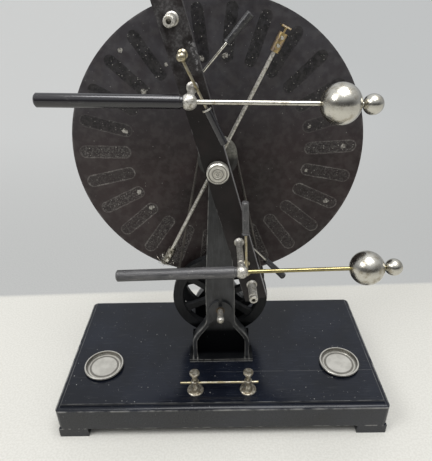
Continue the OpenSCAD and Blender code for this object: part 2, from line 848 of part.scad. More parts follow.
// Turned grip with a waist near the crank and a rounded end
module crank_grip() {
    r = grip_d / 2;
    bore = grip_pin_d / 2 + run_fit;
    swell = [for (i = [0:10]) let (t = i / 10)
        [r * (0.78 + 0.22 * sin(20 + 150 * t)), 4 + (grip_l - 8) * t]];
    color(black_wood) at_shaft() translate([0, crank_out + pass_gap, -crank_r])
        turned_y(concat(
            [[bore, 0], [0.66 * r, 0], [0.66 * r, 2.4], [0.78 * r, 2.8]], swell,
            [[0.7 * r, grip_l - 1], [0.6 * r, grip_l], [bore, grip_l]]));
}

// Plate behind the mid-plane; the front one is its mirror image
module plate() {
    color(ebonite) at_axle() difference() {
        along_y(plate_in, plate_t, plate_d);
        along_y(plate_in - 1, plate_t + 2, spigot_d + 2 * fixed_fit);
    }
}

module rear_plate() {
    plate();
}

module front_plate() {
    mirror([0, 1, 0]) plate();
}

// Boss that carries a plate on its spigot and takes the belt in its groove
module plate_boss() {
    rim = boss_d / 2;
    bore = axle_d / 2 + run_fit;
    floor_r = groove_floor(pulley_line_r);
    deep = groove_half(floor_r, pulley_line_r);
    wide = groove_half(rim, pulley_line_r);
    color(black_iron) at_axle() turned_y([
        [bore, plate_in + fixed_fit], [spigot_d / 2, plate_in + fixed_fit], [spigot_d / 2, plate_out],
        [rim, plate_out], [rim, belt_y - wide], [floor_r, belt_y - deep], [floor_r, belt_y + deep],
        [rim, belt_y + wide], [rim - boss_chamfer, boss_out], [bore, boss_out]
    ]);
}

module rear_boss() {
    plate_boss();
}

module front_boss() {
    mirror([0, 1, 0]) plate_boss();
}

module arm_bar() {
    color(ebonite) difference() {
        on_arm(0) translate([-arm_w / 2, -arm_front, -arm_l / 2]) cube([arm_w, arm_t, arm_l]);
        on_arm(0) along_y(-arm_front - 1, arm_t + 2, axle_d + 2 * run_fit);
        for (r = [socket_r, lever_r, spark_r], side = [-1, 1])
            on_arm(side * r) along_y(-arm_front - 1, arm_t + 2, post_bolt_d + 2 * fixed_fit);
    }
}

// Threaded end of a terminal, through the arm and out of its back by l
module arm_bolt(l) {
    along_y(-arm_front - 0.5, arm_t + 0.5 + l, post_bolt_d);
}

module arm_nuts() {
    color(brass) for (r = [socket_r, lever_r], side = [-1, 1])
        on_arm(side * r) difference() {
            translate([0, -arm_back, 0]) rotate([-90, 0, 0])
                cylinder(h = arm_nut_t, d = arm_nut_w / cos(30), $fn = 6);
            along_y(-arm_back - 1, arm_nut_t + 2, post_bolt_d + 2 * fixed_fit);
        }
}

// Outer terminal with an open socket in its end
module socket_terminal(side) {
    r = socket_d / 2;
    color(nickel) on_arm(side * socket_r) union() {
        translate([0, -arm_front, 0]) mirror([0, 1, 0]) turned_y([
            [0, 0], [r + 1.2, 0], [r + 1.2, 1], [r, 2], [r, socket_l - 6], [r - 0.8, socket_l - 5.4],
            [r - 0.8, socket_l - 4.4], [r, socket_l - 3.8], [r, socket_l - 0.8], [r - 0.8, socket_l],
            [socket_bore_d / 2, socket_l], [socket_bore_d / 2, socket_l - socket_bore_l],
            [0, socket_l - socket_bore_l]
        ]);
        arm_bolt(arm_nut_t + 1);
    }
}

module socket_upper() {
    socket_terminal(1);
}

module socket_lower() {
    socket_terminal(-1);
}

// Middle terminal: a short post with the pin on which a front lever turns
module lever_post(side) {
    r = lever_post_d / 2;
    top = lever_reach - lever_ball_d / 2 - pass_gap;
    pin = lever_pin_d / 2;
    color(brass) on_arm(side * lever_r) union() {
        translate([0, -arm_front, 0]) mirror([0, 1, 0]) turned_y([
            [0, 0], [r + 2, 0], [r + 2, 0.8], [r + 0.6, 2], [r, 3], [r, top - 1], [r - 0.6, top],
            [pin, top], [pin, lever_reach], [0, lever_reach]
        ]);
        arm_bolt(arm_nut_t + 1);
    }
}

module lever_post_upper() {
    lever_post(1);
}

module lever_post_lower() {
    lever_post(-1);
}

// Inner terminal: a long post for a spark rod in front and a pin for a back lever behind
module spark_post(side) {
    r = spark_post_d / 2;
    top = spark_reach - pivot_ball_d / 2 - pass_gap;
    pin = pivot_pin_d / 2;
    tail_top = back_reach - back_ball_d / 2 - pass_gap;
    color(nickel) on_arm(side * spark_r) union() {
        translate([0, -arm_front, 0]) mirror([0, 1, 0]) turned_y([
            [0, 0], [r + 2, 0], [r + 2, 1], [r + 0.4, 2.4], [r, 4], [r, top - 8], [r - 0.6, top - 7.4],
            [r - 0.6, top - 6.4], [r, top - 5.8], [r, top - 0.8], [r - 0.8, top],
            [pin, top], [pin, spark_reach - pivot_depth], [0, spark_reach - pivot_depth]
        ]);
        arm_bolt(0.5);
        translate([0, -arm_back, 0]) turned_y([
            [0, 0], [r, 0], [r, tail_top - 0.6], [r - 0.6, tail_top],
            [lever_pin_d / 2, tail_top], [lever_pin_d / 2, back_reach], [0, back_reach]
        ]);
    }
}

module spark_post_upper() {
    spark_post(1);
}

module spark_post_lower() {
    spark_post(-1);
}

module spark_frame(side) {
    from_arm(side * spark_r, spark_y, side > 0 ? spark_slope_upper : spark_slope_lower) children();
}

// Ball that turns on a post's pin and holds a spark rod through its middle
module spark_pivot(side) {
    color(nickel) spark_frame(side) difference() {
        bored_ball(0, pivot_ball_d, spark_rod_d + 2 * fixed_fit, -pivot_ball_d, pivot_ball_d);
        along_y(pivot_depth - end_gap, pivot_ball_d, pivot_pin_d + 2 * run_fit);
    }
}

module spark_pivot_upper() {
    spark_pivot(1);
}

module spark_pivot_lower() {
    spark_pivot(-1);
}

module spark_rod(side) {
    start = -pivot_ball_d / 2 - spark_grip_hold;
    color(side > 0 ? nickel : brass) spark_frame(side)
        along_x(start, spark_tip_x - start, spark_rod_d);
}

module spark_rod_upper() {
    spark_rod(1);
}

module spark_rod_lower() {
    spark_rod(-1);
}

// Ebonite handle with a thin step where its cupped end takes the pivot ball
module spark_grip(side) {
    r = spark_grip_d / 2;
    hole = spark_rod_d / 2 + fixed_fit;
    ball_r = pivot_ball_d / 2;
    depth = spark_cup_l + spark_grip_hold + end_gap;
    mouth = sqrt(ball_r * ball_r - pow(ball_r - spark_cup_l, 2)) + pass_gap;
    color(polished_ebonite) spark_frame(side) translate([spark_cup_l - ball_r, 0, 0]) mirror([1, 0, 0])
        turned_x([
            [hole, spark_cup_l + pass_gap], [mouth, 0], [r - 0.6, 0], [r - 0.6, 1.6], [r, 2.2],
            [r, spark_grip_l - 1.2], [r - 1.2, spark_grip_l], [0, spark_grip_l], [0, depth], [hole, depth]
        ]);
}

module spark_grip_upper() {
    spark_grip(1);
}

module spark_grip_lower() {
    spark_grip(-1);
}

module spark_balls(side) {
    hole = spark_rod_d + 2 * fixed_fit;
    color(nickel) spark_frame(side) {
        bored_ball(spark_ball_x, spark_ball_d, hole, spark_ball_x - spark_ball_d, spark_tip_x);
        bored_ball(spark_tip_x, spark_tip_d, hole, spark_ball_x, spark_tip_x + end_gap);
    }
}

module spark_balls_upper() {
    spark_balls(1);
}

module spark_balls_lower() {
    spark_balls(-1);
}

// Metal part of a lever: a pivot ball on its pin and a rod that ends inside the handle
module lever(ball_d, rod_l) {
    difference() {
        union() {
            sphere(d = ball_d);
            along_x(0, rod_l + lever_grip_hold, lever_rod_d);
        }
        children();
    }
}

module lever_grip(rod_l, grip_l, d0, d1) {
    hole = lever_rod_d / 2 + fixed_fit;
    depth = lever_grip_hold + end_gap;
    color(polished_ebonite) translate([rod_l, 0, 0]) turned_x([
        [hole, 0], [d0 / 2 + 0.5, 0], [d0 / 2 + 0.5, 1], [d0 / 2, 1.6], [d1 / 2, grip_l - 0.8],
        [d1 / 2 - 0.8, grip_l], [0, grip_l], [0, depth], [hole, depth]
    ]);
}

module front_lever_frame(side) {
    from_arm(side * lever_r, lever_y, side > 0 ? lever_turn_upper : lever_turn_lower) children();
}

module front_lever(side) {
    color(brass) front_lever_frame(side) lever(lever_ball_d, lever_rod_l)
        along_y(-end_gap, lever_ball_d, lever_pin_d + 2 * run_fit);
}

module front_grip(side) {
    front_lever_frame(side) lever_grip(lever_rod_l, lever_grip_l, lever_grip_d, lever_grip_d);
}

module front_lever_upper() {
    front_lever(1);
}

module front_lever_lower() {
    front_lever(-1);
}

module front_grip_upper() {
    front_grip(1);
}

module front_grip_lower() {
    front_grip(-1);
}

module back_lever_frame(side) {
    from_arm(side * spark_r, back_y, side > 0 ? back_turn_upper : back_turn_lower) children();
}

module back_lever(side) {
    color(nickel) back_lever_frame(side) lever(back_ball_d, back_rod_l)
        along_y(-back_ball_d, back_ball_d + end_gap, lever_pin_d + 2 * run_fit);
}

module back_grip(side) {
    back_lever_frame(side) lever_grip(back_rod_l, back_grip_l, 0.78 * back_grip_d, back_grip_d);
}

module back_lever_upper() {
    back_lever(1);
}

module back_lever_lower() {
    back_lever(-1);
}

module back_grip_upper() {
    back_grip(1);
}

module back_grip_lower() {
    back_grip(-1);
}

// Neutralising rod behind the plates; the front one is its mirror image.
// Children are placed once along each half of the rod.
module along_neutral(turn) {
    for (half = [0, 180]) at_axle() translate([0, neutral_y, 0]) rotate([0, -turn - half, 0])
        children();
}

module neutral_rod(turn) {
    inner = boss_out + pass_gap;
    color(nickel) difference() {
        union() {
            at_axle() along_y(inner, std_face - pass_gap - inner, collar_d);
            along_neutral(turn) along_x(axle_d / 2 + 1, holder_r + holder_l - axle_d / 2 - 5, neutral_d);
        }
        at_axle() along_y(inner - 1, std_face - inner + 1, axle_d + 2 * run_fit);
    }
}

// Brass holder with two side screws, a stem, a cross bar and wires that reach to the plate
module brush_pair(turn) {
    reach = neutral_y - plate_out - pass_gap;
    color(brass) along_neutral(turn) difference() {
        union() {
            along_x(holder_r, holder_l, holder_d);
            for (t = [0.27, 0.73]) translate([holder_r + t * holder_l, 0, 0]) {
                along_y(0, holder_d / 2 + 1, 2);
                along_y(holder_d / 2 + 0.4, 1.6, 4);
            }
            along_x(holder_r + holder_l - 1, brush_r - holder_r - holder_l + 1, brush_stem_d);
            translate([brush_r, 0, 0]) cylinder(h = brush_w, d = brush_stem_d, center = true);
            for (i = [0:wire_n - 1]) translate([brush_r, 0, (brush_w - 2) * (i / (wire_n - 1) - 0.5)])
                along_y(-reach, reach, brush_wire_d, $fn = 6);
        }
        along_x(holder_r - 1, holder_l - 2.8, neutral_d + 2 * fixed_fit);
    }
}

module front_neutral() {
    mirror([0, 1, 0]) neutral_rod(neutral_turn);
}

module rear_neutral() {
    neutral_rod(180 - neutral_turn);
}

module front_brushes() {
    mirror([0, 1, 0]) brush_pair(neutral_turn);
}

module rear_brushes() {
    brush_pair(180 - neutral_turn);
}

base_board();
foot_left();
foot_right();
foot_screws();
standard_bolts();
front_standard();
rear_standard();
shaft_bushes();
plate_axle();
hub_nut();
axle_nut();
front_belt();
rear_belt();
jar_dish_left();
jar_dish_right();
post_left();
post_right();
link_rod();
lead_straps();
lead_nuts();
thumbscrew_left();
thumbscrew_right();
drive_shaft();
front_wheel();
rear_wheel();
crank_arm();
crank_pin();
crank_grip();
front_plate();
front_boss();
rear_plate();
rear_boss();
arm_bar();
arm_nuts();
socket_upper();
socket_lower();
lever_post_upper();
lever_post_lower();
spark_post_upper();
spark_post_lower();
spark_pivot_upper();
spark_rod_upper();
spark_grip_upper();
spark_balls_upper();
spark_pivot_lower();
spark_rod_lower();
spark_grip_lower();
spark_balls_lower();
front_lever_upper();
front_grip_upper();
front_lever_lower();
front_grip_lower();
back_lever_upper();
back_grip_upper();
back_lever_lower();
back_grip_lower();
front_neutral();
front_brushes();
rear_neutral();
rear_brushes();
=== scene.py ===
import math
import random

import bmesh
import bpy
from bpy.props import FloatProperty, FloatVectorProperty, IntProperty, PointerProperty
from mathutils import Matrix, Vector


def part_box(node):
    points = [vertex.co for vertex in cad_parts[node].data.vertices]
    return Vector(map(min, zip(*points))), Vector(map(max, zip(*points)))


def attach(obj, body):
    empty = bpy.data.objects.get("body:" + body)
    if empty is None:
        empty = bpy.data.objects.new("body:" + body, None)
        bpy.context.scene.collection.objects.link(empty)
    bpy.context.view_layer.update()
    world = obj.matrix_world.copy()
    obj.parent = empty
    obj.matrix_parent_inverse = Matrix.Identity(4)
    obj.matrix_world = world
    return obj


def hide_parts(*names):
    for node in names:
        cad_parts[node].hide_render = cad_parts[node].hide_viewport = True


bl_info = {
    "name": "Electrostatic Influence Machine",
    "version": (1, 0, 0),
    "blender": (4, 5, 0),
    "location": "View3D > Sidebar > Machine",
    "description": "Dresses a tabletop electrostatic machine with its belts, foil, brushes and finishes",
    "category": "Object",
}

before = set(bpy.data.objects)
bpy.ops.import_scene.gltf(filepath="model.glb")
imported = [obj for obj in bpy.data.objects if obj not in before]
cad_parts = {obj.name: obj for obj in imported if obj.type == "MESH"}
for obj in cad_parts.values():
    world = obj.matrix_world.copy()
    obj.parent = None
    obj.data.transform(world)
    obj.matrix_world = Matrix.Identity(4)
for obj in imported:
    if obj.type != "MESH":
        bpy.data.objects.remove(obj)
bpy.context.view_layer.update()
MM = 0.001


def srgb(code):
    """Linear RGBA of an sRGB hex value."""
    parts = [int(code[i:i + 2], 16) / 255 for i in (1, 3, 5)]
    return tuple(c / 12.92 if c <= 0.04045 else ((c + 0.055) / 1.055) ** 2.4 for c in parts) + (1.0,)


# Places that come from the frame
plate_low, plate_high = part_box("front_plate")
HUB = Vector((0, 0, (plate_low.z + plate_high.z) / 2))
PLATE_R = (plate_high.z - plate_low.z) / 2
PLATE_FACE_Y = plate_low.y
wheel_low, wheel_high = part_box("front_wheel")
SHAFT = Vector((0, 0, (wheel_low.z + wheel_high.z) / 2))
socket_low, socket_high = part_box("socket_lower")
ARM_LEAN = math.atan2(socket_low.x + socket_high.x, 2 * HUB.z - socket_low.z - socket_high.z)
board_low, board_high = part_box("base_board")
sole_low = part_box("front_standard")[0]

# Sizes of the solids that the wear follows: first the width of the arm
ARM_W = 24.4 * MM
# The pale bead under the board's cove, the rim of its top in from its outline, and the line
# where two planks of the board meet under the paint
BEAD_Z = board_high.z - 5.4 * MM
RIM_IN = 6.4 * MM
SEAM_Y = -66 * MM
# Heights of a standard's flare, of the spring of its arch and of the start of its taper
FLARE_LOW = board_high.z + 26 * MM
FLARE_HIGH = board_high.z + 62 * MM
ARCH_Z = board_high.z + 53 * MM
TAPER_Z = SHAFT.z + 26 * MM
# Half the width of a standard at its foot, above its flare and at the axle, and its rib
FOOT_HALF = 34 * MM
COLUMN_HALF = 16.5 * MM
HEAD_HALF = 8.5 * MM
RIB_W = 5 * MM

# Shares of a cord's diameter: how far its strands lie from its middle, and how thick each is
STRAND_OUT = 0.26
STRAND_THICK = 0.48


class BeltSettings(bpy.types.PropertyGroup):
    cord_d: FloatProperty(name="Cord diameter", description="Diameter of the belt cord",
                          default=3 * MM, unit="LENGTH")
    pulley_r: FloatProperty(name="Boss belt line", description="Radius of the belt line on a plate boss",
                            default=18.75 * MM, unit="LENGTH")
    wheel_r: FloatProperty(name="Wheel belt line", description="Radius of the belt line on a drive wheel",
                           default=(wheel_high.z - wheel_low.z) / 2 - 2 * MM, unit="LENGTH")
    strands: IntProperty(name="Strands", description="Strands twisted into the cord", default=3)
    lay: FloatProperty(name="Lay", description="Length of one turn of the twist",
                       default=9 * MM, unit="LENGTH")
    sway: FloatProperty(name="Crossing sway", description="How far the crossed runs bow apart",
                        default=3.5 * MM, unit="LENGTH")


class PlateSettings(bpy.types.PropertyGroup):
    sectors: IntProperty(name="Sectors", description="Marks left by foil sectors round a plate", default=26)
    first_angle: FloatProperty(name="First sector", description="Direction of the first sector's mark",
                               default=math.radians(2.5), unit="ROTATION")
    drift: FloatProperty(name="Drift", description="How far the hand spacing has drifted by the left side, "
                         "in sectors", default=0.33)
    inner_r: FloatProperty(name="Inner radius", description="Inner end of a sector mark",
                           default=90.5 * MM, unit="LENGTH")
    outer_r: FloatProperty(name="Outer radius", description="Outer end of a sector mark",
                           default=143 * MM, unit="LENGTH")
    width: FloatProperty(name="Width", description="Width of a sector mark",
                         default=12.5 * MM, unit="LENGTH")
    flake_d: FloatProperty(name="Flake size", description="Size of the foil scraps left on the front plate",
                           default=7 * MM, unit="LENGTH")
    flake_t: FloatProperty(name="Flake thickness", description="Thickness of a foil scrap and its cement",
                           default=0.2 * MM, unit="LENGTH")


class BrushSettings(bpy.types.PropertyGroup):
    wires: IntProperty(name="Tinsel wires", description="Loose wires in each brush", default=26)
    wire_d: FloatProperty(name="Wire diameter", description="Diameter of a tinsel wire",
                          default=0.3 * MM, unit="LENGTH")
    fray: FloatProperty(name="Fray", description="How far the wires spread from their bar",
                        default=5 * MM, unit="LENGTH")
    turn: FloatProperty(name="Rod direction", description="Direction of the front neutralising rod",
                        default=math.radians(62.9), unit="ROTATION")
    bar_r: FloatProperty(name="Bar radius", description="Distance from the axle to a brush's cross bar",
                         default=136 * MM, unit="LENGTH")
    bar_l: FloatProperty(name="Bar length", description="Length of a brush's cross bar",
                         default=9 * MM, unit="LENGTH")
    holder_d: FloatProperty(name="Holder diameter", description="Diameter of a brush's holder",
                            default=8.4 * MM, unit="LENGTH")
    screw_r: FloatProperty(name="Screw radius", description="Radius of the head of a holder's screw",
                           default=1.9 * MM, unit="LENGTH")
    screw_t: FloatProperty(name="Screw height", description="Height of the head of a holder's screw",
                           default=1.1 * MM, unit="LENGTH")


class CollarSettings(bpy.types.PropertyGroup):
    length: FloatProperty(name="Length", description="Length of the collar along its grip",
                          default=1.5 * MM, unit="LENGTH")
    lip: FloatProperty(name="Lip", description="How far the collar stands out from its grip",
                       default=0.3 * MM, unit="LENGTH")


class FinishSettings(bpy.types.PropertyGroup):
    paint: FloatVectorProperty(name="Board paint", description="Black gloss paint of the base",
                               default=srgb("#0e1119"), size=4, subtype="COLOR")
    japan: FloatVectorProperty(name="Japan", description="Black stove enamel of the castings",
                               default=srgb("#1a1b1d"), size=4, subtype="COLOR")
    plate: FloatVectorProperty(name="Plate ebonite", description="Aged ebonite of the plates",
                               default=srgb("#1d1515"), size=4, subtype="COLOR")
    arm: FloatVectorProperty(name="Arm ebonite", description="Ebonite of the terminal arm",
                             default=srgb("#120e0e"), size=4, subtype="COLOR")
    handle: FloatVectorProperty(name="Handle ebonite", description="Polished ebonite of the handles",
                                default=srgb("#201f22"), size=4, subtype="COLOR")
    nickel: FloatVectorProperty(name="Nickel", description="Aged nickel plate",
                                default=srgb("#c8c5bc"), size=4, subtype="COLOR")
    brass: FloatVectorProperty(name="Brass", description="Bare and worn brass",
                               default=srgb("#a89e80"), size=4, subtype="COLOR")
    steel: FloatVectorProperty(name="Steel", description="Bright turned steel",
                               default=srgb("#a3a29e"), size=4, subtype="COLOR")
    cord: FloatVectorProperty(name="Cord", description="Dark twisted belt cord",
                              default=srgb("#3d3a37"), size=4, subtype="COLOR")
    dust: FloatVectorProperty(name="Dust", description="Dust and worn edges",
                              default=srgb("#b4b3ae"), size=4, subtype="COLOR")


class StageSettings(bpy.types.PropertyGroup):
    table: FloatVectorProperty(name="Table", description="Pale table top",
                               default=srgb("#d2d1cb"), size=4, subtype="COLOR")
    wall: FloatVectorProperty(name="Wall", description="Grey wall tone behind the table",
                              default=srgb("#d3d4d3"), size=4, subtype="COLOR")
    wall_y: FloatProperty(name="Wall line", description="Where the table gives way to the wall tone",
                          default=158 * MM, unit="LENGTH")
    eye: FloatVectorProperty(name="Camera place", description="Where the camera stands",
                             default=(1.163 * MM, -451.126 * MM, 453.734 * MM), unit="LENGTH")
    focal: FloatProperty(name="Focal length", description="Lens over a 36 mm wide sensor",
                         default=37.24, unit="CAMERA")
    yaw: FloatProperty(name="Yaw", description="Camera's turn to the left",
                       default=0.0103, unit="ROTATION")
    pitch: FloatProperty(name="Pitch", description="Camera's tilt downwards",
                         default=0.5077, unit="ROTATION")
    roll: FloatProperty(name="Roll", description="Camera's roll", default=-0.0219, unit="ROTATION")


class MachineSettings(bpy.types.PropertyGroup):
    belt: PointerProperty(type=BeltSettings)
    plate: PointerProperty(type=PlateSettings)
    brush: PointerProperty(type=BrushSettings)
    collar: PointerProperty(type=CollarSettings)
    finish: PointerProperty(type=FinishSettings)
    stage: PointerProperty(type=StageSettings)


# Kinds of node, with the setting that each needs
CHOICE = {"Math": "operation", "Mix": "data_type", "MapRange": "interpolation_type",
          "TexWhiteNoise": "noise_dimensions", "VectorMath": "operation"}
SUB, MUL, MADD = "Math SUBTRACT", "Math MULTIPLY", "Math MULTIPLY_ADD"
MAX, NEAR, UNDER = "Math MAXIMUM", "Math COMPARE", "Math LESS_THAN"
ROOT, ABS = "Math SQRT", "Math ABSOLUTE"
MIX, STEP = "Mix RGBA", "MapRange SMOOTHSTEP"


def feed(socket, value):
    """Links a socket to another node's output, or sets its value."""
    if isinstance(value, bpy.types.NodeSocket):
        socket.id_data.links.new(value, socket)
    else:
        socket.default_value = value


def node(tree, kind, *inputs, **named):
    """Adds a node, feeds its open inputs in order or by name and returns its first open output."""
    name, _, choice = kind.partition(" ")
    made = tree.nodes.new("ShaderNode" + name)
    if choice:
        setattr(made, CHOICE[name], choice)
    for socket, value in zip([s for s in made.inputs if s.enabled], inputs):
        feed(socket, value)
    for key, value in named.items():
        feed(made.inputs[key], value)
    return [s for s in made.outputs if s.enabled][0]


def new_finish(name):
    """A new material, its node tree and the object's coordinates."""
    material = bpy.data.materials.new(name)
    material.use_nodes = True
    tree = material.node_tree
    return material, tree, node(tree, "TexCoord").node.outputs["Object"]


def dress(material, surface, relief=None, depth=0.0):
    """Feeds the inputs of the material's shader, and raises a relief of this depth in metres."""
    tree = material.node_tree
    if relief is not None:
        surface["Normal"] = node(tree, "Bump", Height=relief, Distance=depth)
    for name, value in surface.items():
        feed(tree.nodes["Principled BSDF"].inputs[name], value)
    return material


def grain(tree, place, size, detail=3.0, stretch=(1, 1, 1)):
    """Noise whose blotches are about size metres across, longer along an axis by its stretch."""
    scaled = node(tree, "Mapping", place, Scale=[1 / (size * s) for s in stretch])
    return node(tree, "TexNoise", scaled, Scale=1.0, Detail=detail, Roughness=0.55)


def patches(tree, place, size, low, high, detail=5.0):
    """Soft edged patches: 1 where the grain of this size is above high, 0 below low."""
    return node(tree, STEP, grain(tree, place, size, detail), low, high)


def specks(tree, place, spacing, share):
    """Scattered round specks: 1 in a speck, whose size is up to this share of the spacing."""
    scaled = node(tree, "Mapping", place, Scale=[1 / spacing] * 3)
    cells = node(tree, "TexVoronoi", scaled, Scale=1.0).node
    pick = node(tree, "SeparateColor", cells.outputs["Color"])
    reach = node(tree, MUL, pick, share)
    return node(tree, UNDER, cells.outputs["Distance"], reach)


def all_of(tree, first, *others):
    """Product of masks."""
    for other in others:
        first = node(tree, MUL, first, other)
    return first


def any_of(tree, first, *others):
    """Greatest of masks."""
    for other in others:
        first = node(tree, MAX, first, other)
    return first


def rings(tree, u, v, radii, reach):
    """Rings of these radii about the place where u and v are 0: 1 within reach of a radius."""
    radius = node(tree, ROOT, node(tree, MADD, u, u, node(tree, MUL, v, v)))
    return any_of(tree, *[node(tree, NEAR, radius, r, reach) for r in radii])


def gloss_black_paint(look):
    # Black gloss paint brushed on wood: a smooth coat that mirrors the room softly, with dust lying on top,
    # and pale along the bead under its cove and along its rim, partly rubbed wear and partly painted
    # highlight. Brush lines and dust are drawn coarser than real ones so that they show
    material, t, place = new_finish("gloss_black_paint")
    axes = node(t, "SeparateXYZ", place).node.outputs
    blotch = grain(t, place, 60 * MM)
    brushed = grain(t, place, 2.2 * MM, 4.0, (9, 1, 1))
    coat = node(t, MIX, node(t, STEP, blotch, 0.35, 0.7), look.paint, srgb("#161a24"))
    middle = (board_low + board_high) / 2
    half = (board_high - board_low) / 2
    off_x = node(t, ABS, node(t, SUB, axes[0], middle.x))
    off_y = node(t, ABS, node(t, SUB, axes[1], middle.y))
    outer = any_of(t, node(t, NEAR, off_x, half.x - 0.5 * MM, 0.8 * MM),
                   node(t, NEAR, off_y, half.y - 0.5 * MM, 0.8 * MM))
    # Pale lines on the bead and on the top's rim: partly rubbed wear, partly painted highlight
    bead = all_of(t, node(t, NEAR, axes[2], BEAD_Z, 0.9 * MM), outer,
                  patches(t, place, 12 * MM, 0.3, 0.72), 0.4)
    top = node(t, NEAR, axes[2], board_high.z, 0.5 * MM)
    rim = any_of(t, node(t, NEAR, off_x, half.x - RIM_IN, 0.5 * MM),
                 node(t, NEAR, off_y, half.y - RIM_IN, 0.5 * MM))
    rim = all_of(t, rim, top, patches(t, place, 14 * MM, 0.25, 0.75), 0.26)
    front = node(t, UNDER, axes[1], board_low.y + 0.5 * MM)
    low = node(t, NEAR, axes[2], board_low.z, 0.7 * MM)
    skirt = all_of(t, front, low, patches(t, place, 9 * MM, 0.5, 0.62), 0.45)
    dusty = any_of(t, specks(t, place, 6.5 * MM, 0.085), specks(t, place, 3.3 * MM, 0.07))
    dusty = all_of(t, dusty, node(t, MADD, top, 0.45, 0.3))
    film = node(t, MUL, node(t, STEP, brushed, 0.5, 0.85), 0.03)
    seam = all_of(t, node(t, NEAR, axes[1], SEAM_Y, 0.35 * MM), top,
                  node(t, STEP, axes[0], -60 * MM, 40 * MM), patches(t, place, 18 * MM, 0.36, 0.5), 0.1)
    haze = all_of(t, front, node(t, MADD, patches(t, place, 1.5 * MM, 0.25, 0.75, 6.0), 0.06, 0.02))
    marks = any_of(t, bead, rim, skirt, dusty, film, haze, seam)
    height = node(t, MADD, brushed, 0.2, marks)
    rough = node(t, MADD, marks, 0.5, node(t, MADD, blotch, 0.1, 0.13))
    return dress(material, {"Base Color": node(t, MIX, marks, coat, look.dust), "Roughness": rough,
                            "Specular IOR Level": 0.32},
                 height, 0.05 * MM)


def stove_black(look):
    # Black stove enamel on cast iron: dull sheen over the sand texture of the casting, streaked grey
    # outside, with painted shade black inside, pale rubbed lines on the edges that get knocked, and a
    # painted highlight along the lower front edge of the foot plate.
    # The sand is drawn coarser than a real casting's so that it shows
    material, t, place = new_finish("stove_black")
    axes = node(t, "SeparateXYZ", place).node.outputs
    sand = grain(t, place, 1.6 * MM, 4.0)
    blotch = grain(t, place, 22 * MM)
    coat = node(t, MIX, node(t, STEP, blotch, 0.4, 0.68), look.japan, srgb("#2f3032"))
    streak = node(t, STEP, grain(t, place, 2 * MM, 5.0, (1, 1, 9)), 0.42, 0.7)
    coat = node(t, MIX, node(t, MUL, streak, 0.3), coat, srgb("#444547"))
    from_middle = node(t, ABS, axes[1])
    # Painted shade: black in the niche, in the space about the wheels and on the foot plate
    niche = all_of(t, node(t, STEP, from_middle, -sole_low.y - 5 * MM, -sole_low.y - 12 * MM),
                   node(t, STEP, axes[2], board_high.z + 44 * MM, board_high.z + 36 * MM))
    within = node(t, STEP, from_middle, 1 * MM - wheel_low.y, 0.5 * MM - wheel_low.y)
    sole = node(t, STEP, axes[2], board_high.z + 4.4 * MM, board_high.z + 3.8 * MM)
    painted_shade = any_of(t, niche, node(t, MUL, within, 0.6), node(t, MUL, sole, 0.8))
    coat = node(t, MIX, painted_shade, coat, srgb("#050608"))
    # Pale lines along the foot plate's front: rubbed wear at its upper edge, a painted highlight at its
    # lower edge
    front = node(t, UNDER, axes[1], sole_low.y + 0.6 * MM)
    ends = any_of(t, node(t, MUL, node(t, NEAR, axes[2], board_high.z + 3.2 * MM, 0.5 * MM), 0.4),
                  node(t, NEAR, axes[2], board_high.z + 0.5 * MM, 0.6 * MM))
    edge = all_of(t, front, ends, patches(t, place, 6 * MM, 0.34, 0.5), 0.6)
    # How far in from the outline of a standard, which flares to its foot and tapers to its head
    flare = node(t, STEP, axes[2], FLARE_LOW, FLARE_HIGH)
    lean = (COLUMN_HALF - HEAD_HALF) / (HUB.z - TAPER_Z)
    taper = node(t, MAX, node(t, MADD, axes[2], lean, -TAPER_Z * lean), 0.0)
    reach = node(t, MADD, node(t, ABS, axes[0]), 1.0, taper)
    inset = node(t, SUB, node(t, MADD, flare, COLUMN_HALF - FOOT_HALF, FOOT_HALF), reach)
    arch = all_of(t, node(t, NEAR, inset, RIB_W, 0.8 * MM), node(t, UNDER, axes[2], ARCH_Z))
    corner = any_of(t, node(t, NEAR, inset, 0.0, 0.9 * MM), arch)
    corner = all_of(t, corner, node(t, STEP, from_middle, 40 * MM, 42 * MM),
                    patches(t, place, 9 * MM, 0.3, 0.6), 0.28)
    chips = node(t, MUL, specks(t, place, 8 * MM, 0.055), 0.4)
    marks = any_of(t, edge, corner, chips)
    return dress(material, {"Base Color": node(t, MIX, marks, coat, look.dust),
                            "Roughness": node(t, MADD, blotch, 0.2, 0.3),
                            "Specular IOR Level": node(t, MADD, painted_shade, -0.4, 0.5)},
                 sand, 0.25 * MM)


